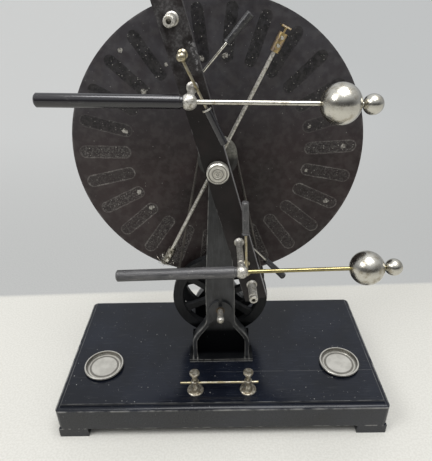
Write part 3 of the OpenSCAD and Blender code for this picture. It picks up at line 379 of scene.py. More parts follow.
def plate_ebonite(look, plate):
    # Sheet ebonite gone brown with age: satin and faintly mottled, scratched round its axis
    # coarser than a real one so that it shows, with the marks of lost foil sectors, bare and
    # dark above, outlined in cement below
    material, t, place = new_finish("plate_ebonite")
    axes = node(t, "SeparateXYZ", place).node.outputs
    up = node(t, SUB, axes[2], HUB.z)
    square = node(t, MADD, up, up, node(t, MUL, axes[0], axes[0]))
    radius = node(t, ROOT, square)
    angle = node(t, "Math ARCTAN2", up, axes[0])
    # Which sector a place belongs to, counted round with the drift of the hand spacing
    pitch = 2 * math.pi / plate.sectors
    level = node(t, "Math DIVIDE", axes[0], radius)
    drift = node(t, MADD, level, -plate.drift / 2, plate.drift / 2 + 0.5 - plate.first_angle / pitch)
    turns = node(t, MADD, angle, 1 / pitch, drift)
    local = node(t, SUB, node(t, "Math FRACT", turns), 0.5)
    number = node(t, "Math FLOOR", turns)
    # How far a place is from the middle line of its round-ended mark
    across = node(t, MUL, node(t, MUL, local, pitch), radius)
    middle_r = (plate.inner_r + plate.outer_r) / 2
    straight = (plate.outer_r - plate.inner_r - plate.width) / 2
    along = node(t, ABS, node(t, SUB, radius, middle_r))
    along = node(t, MAX, node(t, SUB, along, straight), 0.0)
    reach = node(t, ROOT, node(t, MADD, along, along, node(t, MUL, across, across)))
    reach = node(t, MADD, grain(t, place, 4 * MM), 1.6 * MM, node(t, SUB, reach, 0.8 * MM))
    half_w = plate.width / 2
    inside = node(t, SUB, 1.0, node(t, STEP, reach, half_w - 0.6 * MM, half_w))
    outline = node(t, NEAR, reach, half_w, 0.65 * MM)
    chance = node(t, "TexWhiteNoise 1D", number)
    upper = node(t, STEP, up, -20 * MM, 70 * MM)
    lower = node(t, SUB, 1.0, upper)
    patch = patches(t, place, 8 * MM, 0.42, 0.64, 6.0)
    brown = node(t, MIX, patches(t, place, 60 * MM, 0.35, 0.68), look.plate, srgb("#2c2021"))
    mottle = patches(t, place, 6 * MM, 0.3, 0.7, 8.0)
    mottled = node(t, MIX, node(t, MUL, mottle, 0.5), brown, srgb("#2f2727"))
    # Painted reflection: paler towards the left, a cooler grey over the upper half and pale hazy patches
    # high up
    paler_left = node(t, MUL, node(t, STEP, axes[0], -40 * MM, -150 * MM), 0.35)
    mottled = node(t, MIX, paler_left, mottled, srgb("#423b3b"))
    haze = patches(t, place, 14 * MM, 0.2, 0.75, 6.0)
    mottled = node(t, MIX, node(t, MUL, upper, 0.6), mottled, srgb("#2f2e32"))
    haze = all_of(t, node(t, STEP, up, 10 * MM, 110 * MM), haze, 0.5)
    mottled = node(t, MIX, haze, mottled, srgb("#4a4a4f"))
    ragged = node(t, MADD, patches(t, place, 3 * MM, 0.36, 0.6), 0.5, 0.5)
    bare = all_of(t, inside, node(t, MADD, upper, 0.45, 0.4), ragged)
    slotted = node(t, MIX, bare, mottled, srgb("#08080a"))
    flecks = patches(t, place, 1.4 * MM, 0.42, 0.66, 3.0)
    broken = node(t, MADD, flecks, 0.6, 0.4)
    ghost = all_of(t, outline, broken, node(t, MADD, lower, 0.4, 0.02), node(t, MADD, patch, 0.6, 0.4))
    cement = all_of(t, inside, flecks, node(t, MADD, chance, 0.2, 0.06), node(t, MADD, lower, 0.85, 0.15))
    crumbs = all_of(t, inside, specks(t, place, 2.5 * MM, 0.2), node(t, MADD, chance, 0.6, 0.4))
    dust = any_of(t, node(t, MUL, specks(t, place, 6 * MM, 0.07), 0.6),
                  node(t, MUL, specks(t, place, 3.1 * MM, 0.09), node(t, MADD, upper, 0.3, 0.12)))
    ring = node(t, STEP, radius, PLATE_R - 2.4 * MM, PLATE_R - 0.6 * MM)
    film = any_of(t, all_of(t, ring, patch, 0.14), all_of(t, patch, 0.035))
    marks = any_of(t, ghost, cement, crumbs, dust, film)
    rough = node(t, MADD, grain(t, place, 30 * MM), 0.2, 0.36)
    rough = node(t, MADD, bare, -0.1, node(t, MADD, marks, 0.3, rough))
    turned = node(t, "CombineXYZ", radius, axes[1], node(t, MUL, angle, 6 * MM))
    height = node(t, MADD, grain(t, turned, 0.9 * MM), 0.3, marks)
    return dress(material, {"Base Color": node(t, MIX, marks, slotted, srgb("#a9a6a1")),
                            "Roughness": rough, "Specular IOR Level": 0.3},
                 height, 0.12 * MM)


def arm_ebonite(look):
    # Thick ebonite bar, sawn and scraped: brown black and satin, greyed towards its upper terminals, rubbed
    # pale along its left edge, and with a painted highlight along its right edge
    material, t, place = new_finish("arm_ebonite")
    axes = node(t, "SeparateXYZ", place).node.outputs
    up = node(t, SUB, axes[2], HUB.z)
    sin_l, cos_l = math.sin(ARM_LEAN), math.cos(ARM_LEAN)
    along = node(t, MADD, up, cos_l, node(t, MUL, axes[0], -sin_l))
    across = node(t, MADD, up, sin_l, node(t, MUL, axes[0], cos_l))
    mottle = grain(t, place, 16 * MM, 5.0)
    body = node(t, MIX, node(t, STEP, mottle, 0.35, 0.7), look.arm, srgb("#1d1717"))
    powder = node(t, MADD, patches(t, place, 1.8 * MM, 0.4, 0.68), 0.6, 0.4)
    # Greyer towards the upper terminals, and faintly below the hub
    worn = node(t, MUL, node(t, STEP, along, -30 * MM, -90 * MM), 0.04)
    worn = node(t, MADD, node(t, STEP, along, 55 * MM, 120 * MM), 0.24, worn)
    hazy = all_of(t, worn, patches(t, place, 11 * MM, 0.3, 0.62), powder)
    nicks = all_of(t, node(t, NEAR, along, 104 * MM, 12 * MM), node(t, STEP, across, 6 * MM, 9 * MM),
                   patches(t, place, 2 * MM, 0.52, 0.6), 0.55)
    # Painted highlight: a pale line along the right edge, stronger below the hub
    right = all_of(t, node(t, STEP, across, ARM_W / 2 - 0.9 * MM, ARM_W / 2 - 0.3 * MM),
                   node(t, MADD, node(t, STEP, along, 55 * MM, 30 * MM), 0.33, 0.18))
    left = all_of(t, node(t, STEP, across, 0.7 * MM - ARM_W / 2, 0.2 * MM - ARM_W / 2),
                  patches(t, place, 10 * MM, 0.5, 0.62), 0.25)
    dust = node(t, MUL, specks(t, place, 4 * MM, 0.07), 0.5)
    marks = any_of(t, hazy, nicks, right, left, dust)
    sawn = grain(t, place, 1.4 * MM, 4.0, (1, 1, 5))
    return dress(material, {"Base Color": node(t, MIX, marks, body, srgb("#a2a1a3")),
                            "Roughness": node(t, MADD, mottle, 0.2, 0.28),
                            "Specular IOR Level": 0.25},
                 sawn, 0.07 * MM)


def handle_ebonite(look):
    # Ebonite turned and polished: near black, mirroring the room in one clean streak, with a
    # few scuffs along it, drawn coarser than real ones so that they show
    material, t, place = new_finish("handle_ebonite")
    scuff = grain(t, place, 1.4 * MM, 5.0, (7, 1, 1))
    worn = node(t, MUL, node(t, STEP, scuff, 0.58, 0.8), 0.12)
    return dress(material, {"Base Color": node(t, MIX, worn, look.handle, srgb("#9a9896")),
                            "Roughness": node(t, MADD, worn, 0.8, 0.12), "Specular IOR Level": 0.75},
                 scuff, 0.006 * MM)


def weathered_ebonite(name, dark, pale, rough):
    # The same ebonite weathered: its gloss gone, softly streaked along its length in two tones,
    # scratched the same way, with pale spots where it has been knocked
    material, t, place = new_finish(name)
    axes = node(t, "SeparateXYZ", place).node.outputs
    drawn_out = node(t, "CombineXYZ", node(t, MUL, axes[0], 0.05), axes[1], node(t, MUL, axes[2], 0.2))
    streak = grain(t, drawn_out, 1.1 * MM, 4.0)
    tone = node(t, MIX, node(t, STEP, streak, 0.3, 0.7), srgb(dark), srgb(pale))
    scratch = node(t, MUL, patches(t, drawn_out, 0.6 * MM, 0.56, 0.66), 0.16)
    knocks = any_of(t, scratch, node(t, MUL, patches(t, place, 1.6 * MM, 0.62, 0.7), 0.5))
    return dress(material, {"Base Color": node(t, MIX, knocks, tone, srgb("#a3a19d")),
                            "Roughness": node(t, MADD, streak, 0.3, rough)},
                 streak, 0.05 * MM)


def aged_nickel(look):
    # Nickel plate on brass: still bright, but clouded, yellowed in patches and pitted with
    # fine grey spots
    material, t, place = new_finish("aged_nickel")
    cloud = grain(t, place, 7 * MM, 5.0)
    tone = node(t, MIX, node(t, STEP, cloud, 0.45, 0.74), look.nickel, srgb("#9b9382"))
    pits = any_of(t, node(t, MUL, specks(t, place, 2.2 * MM, 0.2), 0.4),
                  node(t, MUL, patches(t, place, 1.3 * MM, 0.52, 0.7), 0.14))
    rough = node(t, MADD, pits, 0.3, node(t, MADD, cloud, 0.22, 0.13))
    return dress(material, {"Base Color": node(t, MIX, pits, tone, srgb("#6d675c")), "Metallic": 1.0,
                            "Roughness": rough},
                 cloud, 0.1 * MM)


def dull_nickel():
    # Nickelled fittings whose plate has gone dull and spotted: grey, half matt, with olive
    # brown where the brass shows through
    material, t, place = new_finish("dull_nickel")
    spots = patches(t, place, 1.7 * MM, 0.44, 0.64)
    bared = patches(t, place, 5 * MM, 0.5, 0.66)
    tone = node(t, MIX, node(t, MUL, spots, 0.7), srgb("#d2cfc8"), srgb("#7d7a70"))
    tone = node(t, MIX, node(t, MUL, bared, 0.45), tone, srgb("#7f7556"))
    rough = node(t, MADD, grain(t, place, 4 * MM, 5.0), 0.25, 0.31)
    return dress(material, {"Base Color": tone, "Metallic": 0.9, "Roughness": rough},
                 spots, 0.1 * MM)


def browned_nickel():
    # Nickel on the board's terminal posts, mostly handled away: brown metal with pale islands
    # of plate and dark grime round them
    material, t, place = new_finish("browned_nickel")
    islands = patches(t, place, 3 * MM, 0.42, 0.6)
    grime = patches(t, place, 2 * MM, 0.54, 0.64)
    tone = node(t, MIX, islands, srgb("#8a8170"), srgb("#c5c0b2"))
    return dress(material, {"Base Color": node(t, MIX, node(t, MUL, grime, 0.4), tone, srgb("#3f372d")),
                            "Metallic": 0.9, "Roughness": node(t, MADD, grime, 0.3, 0.36)},
                 islands, 0.08 * MM)


def turned_nickel(name, low, high, flat, shares):
    # Nickelled face turned on a lathe, matt: grey with stains, and darker grooves round its
    # centre at these shares of its radius; flat if it lies on the board
    material, t, place = new_finish(name)
    axes = node(t, "SeparateXYZ", place).node.outputs
    middle = (low + high) / 2
    radius = (high.x - low.x) / 2
    second = node(t, SUB, axes[1], middle.y) if flat else node(t, SUB, axes[2], middle.z)
    radii = [radius * share for share in shares]
    grooves = rings(t, node(t, SUB, axes[0], middle.x), second, radii, radius * 0.05)
    stain = patches(t, place, radius / 2, 0.4, 0.66)
    tone = node(t, MIX, node(t, MUL, stain, 0.35), srgb("#cdcac2"), srgb("#96938a"))
    tone = node(t, MIX, node(t, MUL, grooves, 0.72), tone, srgb("#4d4a43"))
    rough = node(t, MADD, grain(t, place, 6 * MM, 5.0), 0.25, 0.26)
    fine = grain(t, place, 0.8 * MM)
    return dress(material, {"Base Color": tone, "Metallic": 0.8, "Roughness": rough},
                 fine, 0.06 * MM)


def worn_brass(look):
    # Bare brass with its plate mostly gone: dull pale gold, darker tarnish and some nickel left
    material, t, place = new_finish("worn_brass")
    cloud = grain(t, place, 8 * MM, 5.0)
    tone = node(t, MIX, node(t, STEP, cloud, 0.42, 0.74), look.brass, srgb("#75694f"))
    plated = node(t, MUL, patches(t, place, 4 * MM, 0.45, 0.6), 0.65)
    return dress(material, {"Base Color": node(t, MIX, plated, tone, srgb("#b9b3a4")), "Metallic": 1.0,
                            "Roughness": node(t, MADD, cloud, 0.25, 0.2)},
                 cloud, 0.05 * MM)


def bright_brass():
    # Bare brass rod kept bright by handling: clear yellow gold with the lines of its drawing
    # along it, coarser than real ones so that they show
    material, t, place = new_finish("bright_brass")
    lines = grain(t, place, 0.9 * MM, 4.0, (14, 1, 1))
    tone = node(t, MIX, node(t, STEP, lines, 0.4, 0.7), srgb("#a0956a"), srgb("#786f4c"))
    return dress(material, {"Base Color": tone, "Metallic": 1.0,
                            "Roughness": node(t, MADD, lines, 0.2, 0.16)},
                 lines, 0.03 * MM)


def brush_metal():
    # Brush holders and their tinsel: worn gold brass at a rod's upper end, plated and gone
    # nickel grey at its lower end
    material, t, place = new_finish("brush_metal")
    axes = node(t, "SeparateXYZ", place).node.outputs
    upper = node(t, STEP, axes[2], HUB.z - 20 * MM, HUB.z + 20 * MM)
    bare = node(t, MIX, patches(t, place, 3.5 * MM, 0.45, 0.6), srgb("#b39d6e"), srgb("#9c8a78"))
    plated = node(t, MIX, patches(t, place, 2.5 * MM, 0.4, 0.6), srgb("#aaa69c"), srgb("#6f6b60"))
    return dress(material, {"Base Color": node(t, MIX, upper, plated, bare), "Metallic": 0.95,
                            "Roughness": node(t, MADD, grain(t, place, 3 * MM), 0.3, 0.2)})


def oiled_bronze():
    # Bearing bronze black with old oil: dark brown, smooth and wet looking
    material, t, place = new_finish("oiled_bronze")
    grime = patches(t, place, 3 * MM, 0.35, 0.65)
    return dress(material, {"Base Color": node(t, MIX, grime, srgb("#5a4a33"), srgb("#1b1814")),
                            "Metallic": 0.6, "Roughness": node(t, MADD, grime, 0.2, 0.25)})


def dusty_boss():
    # Turned ebonite bosses: black brown, greyed on whatever faces up and on a patch right of the axle,
    # partly settled dust and partly painted light from above
    material, t, place = new_finish("dusty_boss")
    facing = node(t, "SeparateXYZ", node(t, "TexCoord").node.outputs["Normal"]).node.outputs["Z"]
    fine = patches(t, place, 2.5 * MM, 0.3, 0.65)
    axes = node(t, "SeparateXYZ", place).node.outputs
    right = all_of(t, node(t, STEP, axes[0], 3 * MM, 10 * MM),
                   node(t, STEP, axes[2], HUB.z - 2 * MM, HUB.z + 6 * MM))
    dust = all_of(t, any_of(t, node(t, STEP, facing, -0.1, 0.5), right), node(t, MADD, fine, 0.5, 0.4))
    return dress(material, {"Base Color": node(t, MIX, dust, srgb("#1a1817"), srgb("#7d7c73")),
                            "Roughness": node(t, MADD, dust, 0.4, 0.4)})


def turned_steel(look):
    # Steel turned on a lathe: grey, with light brown freckles and the tool's rings round it,
    # coarser than real ones so that they show
    material, t, place = new_finish("turned_steel")
    tooled = grain(t, place, 0.8 * MM, 2.0, (6, 0.5, 6))
    rust = patches(t, place, 4 * MM, 0.58, 0.74)
    tone = node(t, MIX, node(t, MUL, rust, 0.6), look.steel, srgb("#6f5f50"))
    return dress(material, {"Base Color": tone, "Metallic": 1.0,
                            "Roughness": node(t, MADD, rust, 0.3, 0.28)},
                 tooled, 0.04 * MM)


def waxed_cord(look):
    # Waxed cotton cord, three strands twisted: matt dark grey with paler fibres standing off,
    # drawn coarser than real ones so that they show
    material, t, place = new_finish("waxed_cord")
    fibre = grain(t, place, 0.9 * MM, 5.0)
    tone = node(t, MIX, patches(t, place, 18 * MM, 0.35, 0.7), look.cord, srgb("#57524c"))
    pale = node(t, MUL, node(t, STEP, fibre, 0.5, 0.75), 0.35)
    return dress(material, {"Base Color": node(t, MIX, pale, tone, srgb("#8b857c")), "Roughness": 0.88},
                 fibre, 0.15 * MM)


def ebonised_beech():
    # Turned beech stained black: satin, with its short pores showing brown along the grip
    material, t, place = new_finish("ebonised_beech")
    pores = grain(t, place, 1.1 * MM, 4.0, (1, 9, 1))
    tone = node(t, MIX, node(t, STEP, pores, 0.45, 0.72), srgb("#1a1614"), srgb("#3a2d22"))
    return dress(material, {"Base Color": tone, "Roughness": node(t, MADD, pores, 0.2, 0.3)},
                 pores, 0.08 * MM)


def tin_foil():
    # Scraps of tin foil still cemented down: crumpled, grey and half tarnished
    material, t, place = new_finish("tin_foil")
    crease = grain(t, place, 1.6 * MM, 5.0)
    tone = node(t, MIX, node(t, STEP, crease, 0.4, 0.62), srgb("#5d5a56"), srgb("#b4b1aa"))
    return dress(material, {"Base Color": tone, "Metallic": 0.5,
                            "Roughness": node(t, MADD, crease, 0.3, 0.35)},
                 crease, 0.3 * MM)


# Which finish each CAD node gets
NODE_FINISH = {
    "gloss_black_paint": ["base_board", "foot_left", "foot_right"],
    "stove_black": ["front_standard", "rear_standard", "front_wheel", "rear_wheel", "crank_arm"],
    "plate_ebonite": ["front_plate", "rear_plate"],
    "dusty_boss": ["front_boss", "rear_boss"],
    "arm_ebonite": ["arm_bar"],
    "turned_hub_nut": ["hub_nut"],
    "turned_dish_left": ["jar_dish_left"],
    "turned_dish_right": ["jar_dish_right"],
    "browned_nickel": ["post_left", "post_right", "thumbscrew_left", "thumbscrew_right"],
    "dull_nickel": ["socket_upper", "socket_lower", "spark_post_upper", "spark_post_lower", "drive_shaft",
                    "spark_pivot_upper", "spark_pivot_lower", "front_neutral", "rear_neutral"],
    "worn_brass": ["link_rod", "lead_straps", "lead_nuts", "arm_nuts", "front_lever_upper",
                   "front_lever_lower", "lever_post_upper", "lever_post_lower"],
    "brush_metal": ["front_brushes", "rear_brushes"],
    "greyed_ebonite": ["spark_grip_lower", "front_grip_lower"],
    "satin_ebonite": ["back_grip_upper", "back_grip_lower"],
    "bright_brass": ["spark_rod_lower"],
    "oiled_bronze": ["shaft_bushes"],
    "turned_steel": ["foot_screws", "standard_bolts", "plate_axle", "crank_pin"],
    "ebonised_beech": ["crank_grip"],
}


def part_finish(name):
    """The finish of a CAD node: its own, or polished ebonite for handles and nickel for the rest."""
    for finish, members in NODE_FINISH.items():
        if name in members:
            return finish
    return "handle_ebonite" if "_grip_" in name else "aged_nickel"


def add_piece(name, mesh, finish, body):
    """Links a finished mesh as a piece that rides on a body."""
    mesh.name = name
    mesh.materials.clear()
    mesh.materials.append(bpy.data.materials[finish])
    made = bpy.data.objects.new(name, mesh)
    bpy.context.scene.collection.objects.link(made)
    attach(made, body)
    return made


def mesh_from(bm, name):
    """Turns a bmesh into a new mesh, and frees it."""
    mesh = bpy.data.meshes.new(name)
    bm.to_mesh(mesh)
    bm.free()
    return mesh


def strand_mesh(paths, thickness, closed):
    """A mesh of round strands that follow lists of points."""
    curve = bpy.data.curves.new("strands", "CURVE")
    curve.dimensions = "3D"
    curve.bevel_depth = thickness / 2
    curve.bevel_resolution = 1
    curve.use_fill_caps = not closed
    for path in paths:
        spline = curve.splines.new("POLY")
        spline.points.add(len(path) - 1)
        for point, place in zip(spline.points, path):
            point.co = (*place, 1.0)
        spline.use_cyclic_u = closed
    holder = bpy.data.objects.new("strands", curve)
    bpy.context.scene.collection.objects.link(holder)
    graph = bpy.context.evaluated_depsgraph_get()
    mesh = bpy.data.meshes.new_from_object(holder.evaluated_get(graph), depsgraph=graph)
    bpy.data.objects.remove(holder)
    bpy.data.curves.remove(curve)
    bm = bmesh.new()
    bm.from_mesh(mesh)
    bmesh.ops.remove_doubles(bm, verts=bm.verts, dist=0.001 * MM)
    bmesh.ops.recalc_face_normals(bm, faces=bm.faces)
    for face in bm.faces:
        face.smooth = True
    bm.to_mesh(mesh)
    bm.free()
    return mesh


def arc(z, radius, start, end, step):
    """Points on a circle about the height z in the plane y = 0."""
    count = math.ceil(abs(end - start) * radius / step)
    turns = [start + (end - start) * i / count for i in range(count + 1)]
    return [Vector((radius * math.cos(a), 0, z + radius * math.sin(a))) for a in turns]


def straight_run(start, end, sway, step):
    """Points between two tangent points, bowed along Y to let a crossing run pass."""
    count = math.ceil((end - start).length / step)
    shares = [i / count for i in range(1, count)]
    return [start.lerp(end, s) + Vector((0, sway * math.sin(math.pi * s) ** 2, 0)) for s in shares]


def belt_route(belt, sense, step):
    """Centre line of a belt about y = 0: sense 1 for the open one, -1 for the crossed one."""
    lean = sense * math.asin((belt.wheel_r - sense * belt.pulley_r) / (HUB.z - SHAFT.z))
    over = arc(HUB.z, belt.pulley_r, lean, math.pi - lean, step)
    if sense > 0:
        under = arc(SHAFT.z, belt.wheel_r, math.pi - lean, 2 * math.pi + lean, step)
        sway = 0
    else:
        under = arc(SHAFT.z, belt.wheel_r, -lean, lean - math.pi, step)
        sway = belt.sway
    there = straight_run(over[-1], under[0], sway, step)
    back = straight_run(under[-1], over[0], -sway, step)
    return over + there + under + back


def twisted_strands(belt, route, y):
    """The paths of a cord's strands, which wind round its route a whole number of times."""
    count = len(route)
    lengths = [0.0]
    for i in range(count):
        lengths.append(lengths[-1] + (route[(i + 1) % count] - route[i]).length)
    turns = round(lengths[-1] / belt.lay)
    offset = belt.cord_d * STRAND_OUT
    paths = []
    for strand in range(belt.strands):
        path = []
        for i, point in enumerate(route):
            ahead = (route[(i + 1) % count] - route[i - 1]).normalized()
            out = ahead.cross(Vector((0, 1, 0))).normalized()
            side = ahead.cross(out)
            a = 2 * math.pi * (turns * lengths[i] / lengths[-1] + strand / belt.strands)
            path.append(point + Vector((0, y, 0)) + offset * (math.cos(a) * out + math.sin(a) * side))
        paths.append(path)
    return paths


class MACHINE_OT_stage(bpy.types.Operator):
    """Set up the table, the daylight and the camera"""
    bl_idname = "machine.stage"
    bl_label = "Stage"

    # Half the width of the table in metres: it runs on past all that a camera sees
    TABLE_HALF = 60.0
    # Each lamp's place and width in metres and its power in watts
    LAMPS = {"window": ((-1.7, -1.0, 2.2), 1.0, 26.0), "ceiling": ((0.3, -0.5, 3.0), 1.9, 76.0)}
    # The point that the lamps face, in metres
    AIM = (0, 0, 0.2)

    def execute(self, context):
        stage = context.scene.machine.stage
        bm = bmesh.new()
        bmesh.ops.create_grid(bm, x_segments=1, y_segments=1, size=self.TABLE_HALF)
        table = bpy.data.objects.new("table_top", mesh_from(bm, "table_top"))
        context.scene.collection.objects.link(table)
        table.data.materials.append(self.table_finish(stage))
        self.light(context.scene)
        self.camera(context.scene, stage)
        return {"FINISHED"}

    def table_finish(self, stage):
        # Matt painted board, faintly mottled. Beyond its back edge the grey of a wall, with painted shade
        # darker at its foot and to the right, and far to the sides the board's own tone, are shown as
        # written to rays that see them. The mottling is drawn coarser than real so that it shows
        material, t, place = new_finish("table_and_wall")
        axes = node(t, "SeparateXYZ", place).node.outputs
        slope = node(t, MADD, axes[0], -0.025, axes[1])
        behind = node(t, STEP, slope, stage.wall_y - 6 * MM, stage.wall_y + 6 * MM)
        around = node(t, STEP, node(t, "VectorMath LENGTH", place), 0.5, 1.5)
        shade = node(t, STEP, axes[0], -0.3, 0.9)
        wall = node(t, MIX, shade, stage.wall, srgb("#c4c6c6"))
        rise = node(t, STEP, slope, stage.wall_y, stage.wall_y + 1.0)
        wall = node(t, MIX, node(t, MADD, rise, -0.5, 0.5), wall, srgb("#b4b5b3"))
        speckle = node(t, MUL, patches(t, place, 2.4 * MM, 0.38, 0.62, 4.0), 0.3)
        table = node(t, MIX, speckle, stage.table, srgb("#b5b3ab"))
        dress(material, {"Base Color": table, "Roughness": 0.85, "Specular IOR Level": 0.2})
        tone = node(t, MIX, behind, srgb("#dbdad4"), wall)
        glow = node(t, "Emission", node(t, MIX, speckle, tone, srgb("#aeb0b1")))
        path = node(t, "LightPath").node.outputs
        seen = any_of(t, path["Is Camera Ray"], path["Is Glossy Ray"], path["Is Transmission Ray"])
        shown = node(t, "MixShader", all_of(t, any_of(t, behind, around), seen),
                     t.nodes["Principled BSDF"].outputs[0], glow)
        feed(t.nodes["Material Output"].inputs["Surface"], shown)
        return material

    def light(self, scene):
        # Even daylight from all round, a dimmer room for metal and gloss to mirror, and pale
        # grey where the camera sees past the table
        world = bpy.data.worlds.new("daylight")
        world.use_nodes = True
        scene.world = world
        t = world.node_tree
        ways = node(t, "SeparateXYZ", node(t, "TexCoord")).node.outputs
        sky = node(t, MIX, node(t, STEP, ways["Z"], 0.0, 0.9), srgb("#a0a2a5"), srgb("#eceef0"))
        dim_side = all_of(t, node(t, STEP, ways["Y"], 0.1, -0.8), node(t, STEP, ways["Z"], 0.8, 0.2))
        room = node(t, MIX, all_of(t, dim_side, 0.9), sky, srgb("#2f2e2d"))
        path = node(t, "LightPath").node.outputs
        mirrored = any_of(t, path["Is Glossy Ray"], path["Is Transmission Ray"])
        plain = node(t, MIX, path["Is Camera Ray"], srgb("#aaaaaa"), srgb("#cdcece"))
        feed(t.nodes["Background"].inputs["Color"], node(t, MIX, mirrored, plain, room))
        for name, (place, size, power) in self.LAMPS.items():
            lamp = bpy.data.lights.new(name, "AREA")
            lamp.size = size
            lamp.energy = power
            made = bpy.data.objects.new(name, lamp)
            made.location = place
            aim = Vector(self.AIM) - made.location
            made.rotation_euler = aim.to_track_quat("-Z", "Y").to_euler()
            scene.collection.objects.link(made)

    def camera(self, scene, stage):
        lens = bpy.data.cameras.new("view")
        lens.sensor_fit = "HORIZONTAL"
        lens.sensor_width = 36.0
        lens.lens = stage.focal
        lens.clip_end = 200.0
        view = bpy.data.objects.new("view", lens)
        turn = Matrix.Rotation(stage.yaw, 3, "Z") @ Matrix.Rotation(math.pi / 2 - stage.pitch, 3, "X")
        turn = turn @ Matrix.Rotation(stage.roll, 3, "Z")
        view.matrix_world = Matrix.Translation(stage.eye) @ turn.to_4x4()
        scene.collection.objects.link(view)
        scene.camera = view
        scene.view_settings.view_transform = "Standard"


class MACHINE_OT_finishes(bpy.types.Operator):
    """Make the finishes and put them on the machine's parts"""
    bl_idname = "machine.finishes"
    bl_label = "Finishes"

    def execute(self, context):
        settings = context.scene.machine
        look = settings.finish
        plate_ebonite(look, settings.plate)
        turned_nickel("turned_hub_nut", *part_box("hub_nut"), False, (0.8, 0.47, 0.1))
        turned_nickel("turned_dish_left", *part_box("jar_dish_left"), True, (0.88, 0.7))
        turned_nickel("turned_dish_right", *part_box("jar_dish_right"), True, (0.88, 0.7))
        weathered_ebonite("greyed_ebonite", "#39393b", "#565556", 0.22)
        weathered_ebonite("satin_ebonite", "#1d1d1f", "#343436", 0.18)
        for make in (gloss_black_paint, stove_black, arm_ebonite, handle_ebonite, aged_nickel,
                     worn_brass, turned_steel, waxed_cord):
            make(look)
        for make in (dull_nickel, browned_nickel, bright_brass, brush_metal, oiled_bronze, dusty_boss,
                     ebonised_beech, tin_foil):
            make()
        for name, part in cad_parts.items():
            for slot in part.material_slots:
                slot.material = bpy.data.materials[part_finish(name)]
        return {"FINISHED"}


class MACHINE_OT_belts(bpy.types.Operator):
    """Twist the two drive belts"""
    bl_idname = "machine.belts"
    bl_label = "Belts"

    def execute(self, context):
        belt = context.scene.machine.belt
        for name, sense in (("front_belt", 1), ("rear_belt", -1)):
            low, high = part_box(name)
            route = belt_route(belt, sense, belt.lay / 10)
            paths = twisted_strands(belt, route, (low.y + high.y) / 2)
            mesh = strand_mesh(paths, belt.cord_d * STRAND_THICK, True)
            cord = add_piece("twisted_" + name, mesh, "waxed_cord", "machine_frame")
            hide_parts(name)
        return {"FINISHED"}


class MACHINE_OT_foil(bpy.types.Operator):
    """Lay the scraps of foil that are left on the front plate"""
    bl_idname = "machine.foil"
    bl_label = "Foil scraps"

    # Direction in degrees, distance from the axle in millimetres and size of each scrap
    SCRAPS = ((84.6, 97, 1.0), (98.3, 95, 1.0), (103, 96, 0.7), (138, 96, 0.9), (164.7, 97, 1.0),
              (205.7, 96, 0.9), (219.4, 96, 0.9), (16, 97, 0.6), (348, 96, 0.6), (2.5, 130, 0.9),
              (334.6, 131, 1.0), (118, 101, 0.6), (61, 128, 0.7), (131, 136, 0.7))

    def execute(self, context):
        plate = context.scene.machine.plate
        chance = random.Random(4)
        bm = bmesh.new()
        for degrees, distance, size in self.SCRAPS:
            made = bmesh.ops.create_circle(bm, cap_ends=True, segments=11, radius=plate.flake_d / 2 * size)
            for vert in made["verts"]:
                vert.co *= chance.uniform(0.55, 1.1)
            faces = list(made["verts"][0].link_faces)
            raised = bmesh.ops.extrude_face_region(bm, geom=faces)["geom"]
            top = [v for v in raised if isinstance(v, bmesh.types.BMVert)]
            bmesh.ops.translate(bm, verts=top, vec=(0, 0, plate.flake_t))
            for vert in top:
                vert.co.z += chance.uniform(0, plate.flake_t)
            turn = math.radians(degrees)
            x, z = math.cos(turn) * distance * MM, math.sin(turn) * distance * MM
            seat = Matrix.Translation((x, PLATE_FACE_Y, HUB.z + z)) @ Matrix.Rotation(math.pi / 2, 4, "X")
            bmesh.ops.transform(bm, matrix=seat @ Matrix.Rotation(chance.uniform(0, 6), 4, "Z"),
                                verts=top + made["verts"])
        bmesh.ops.recalc_face_normals(bm, faces=bm.faces)
        add_piece("foil_scraps", mesh_from(bm, "foil"), "tin_foil", "front_turning_plate")
        return {"FINISHED"}


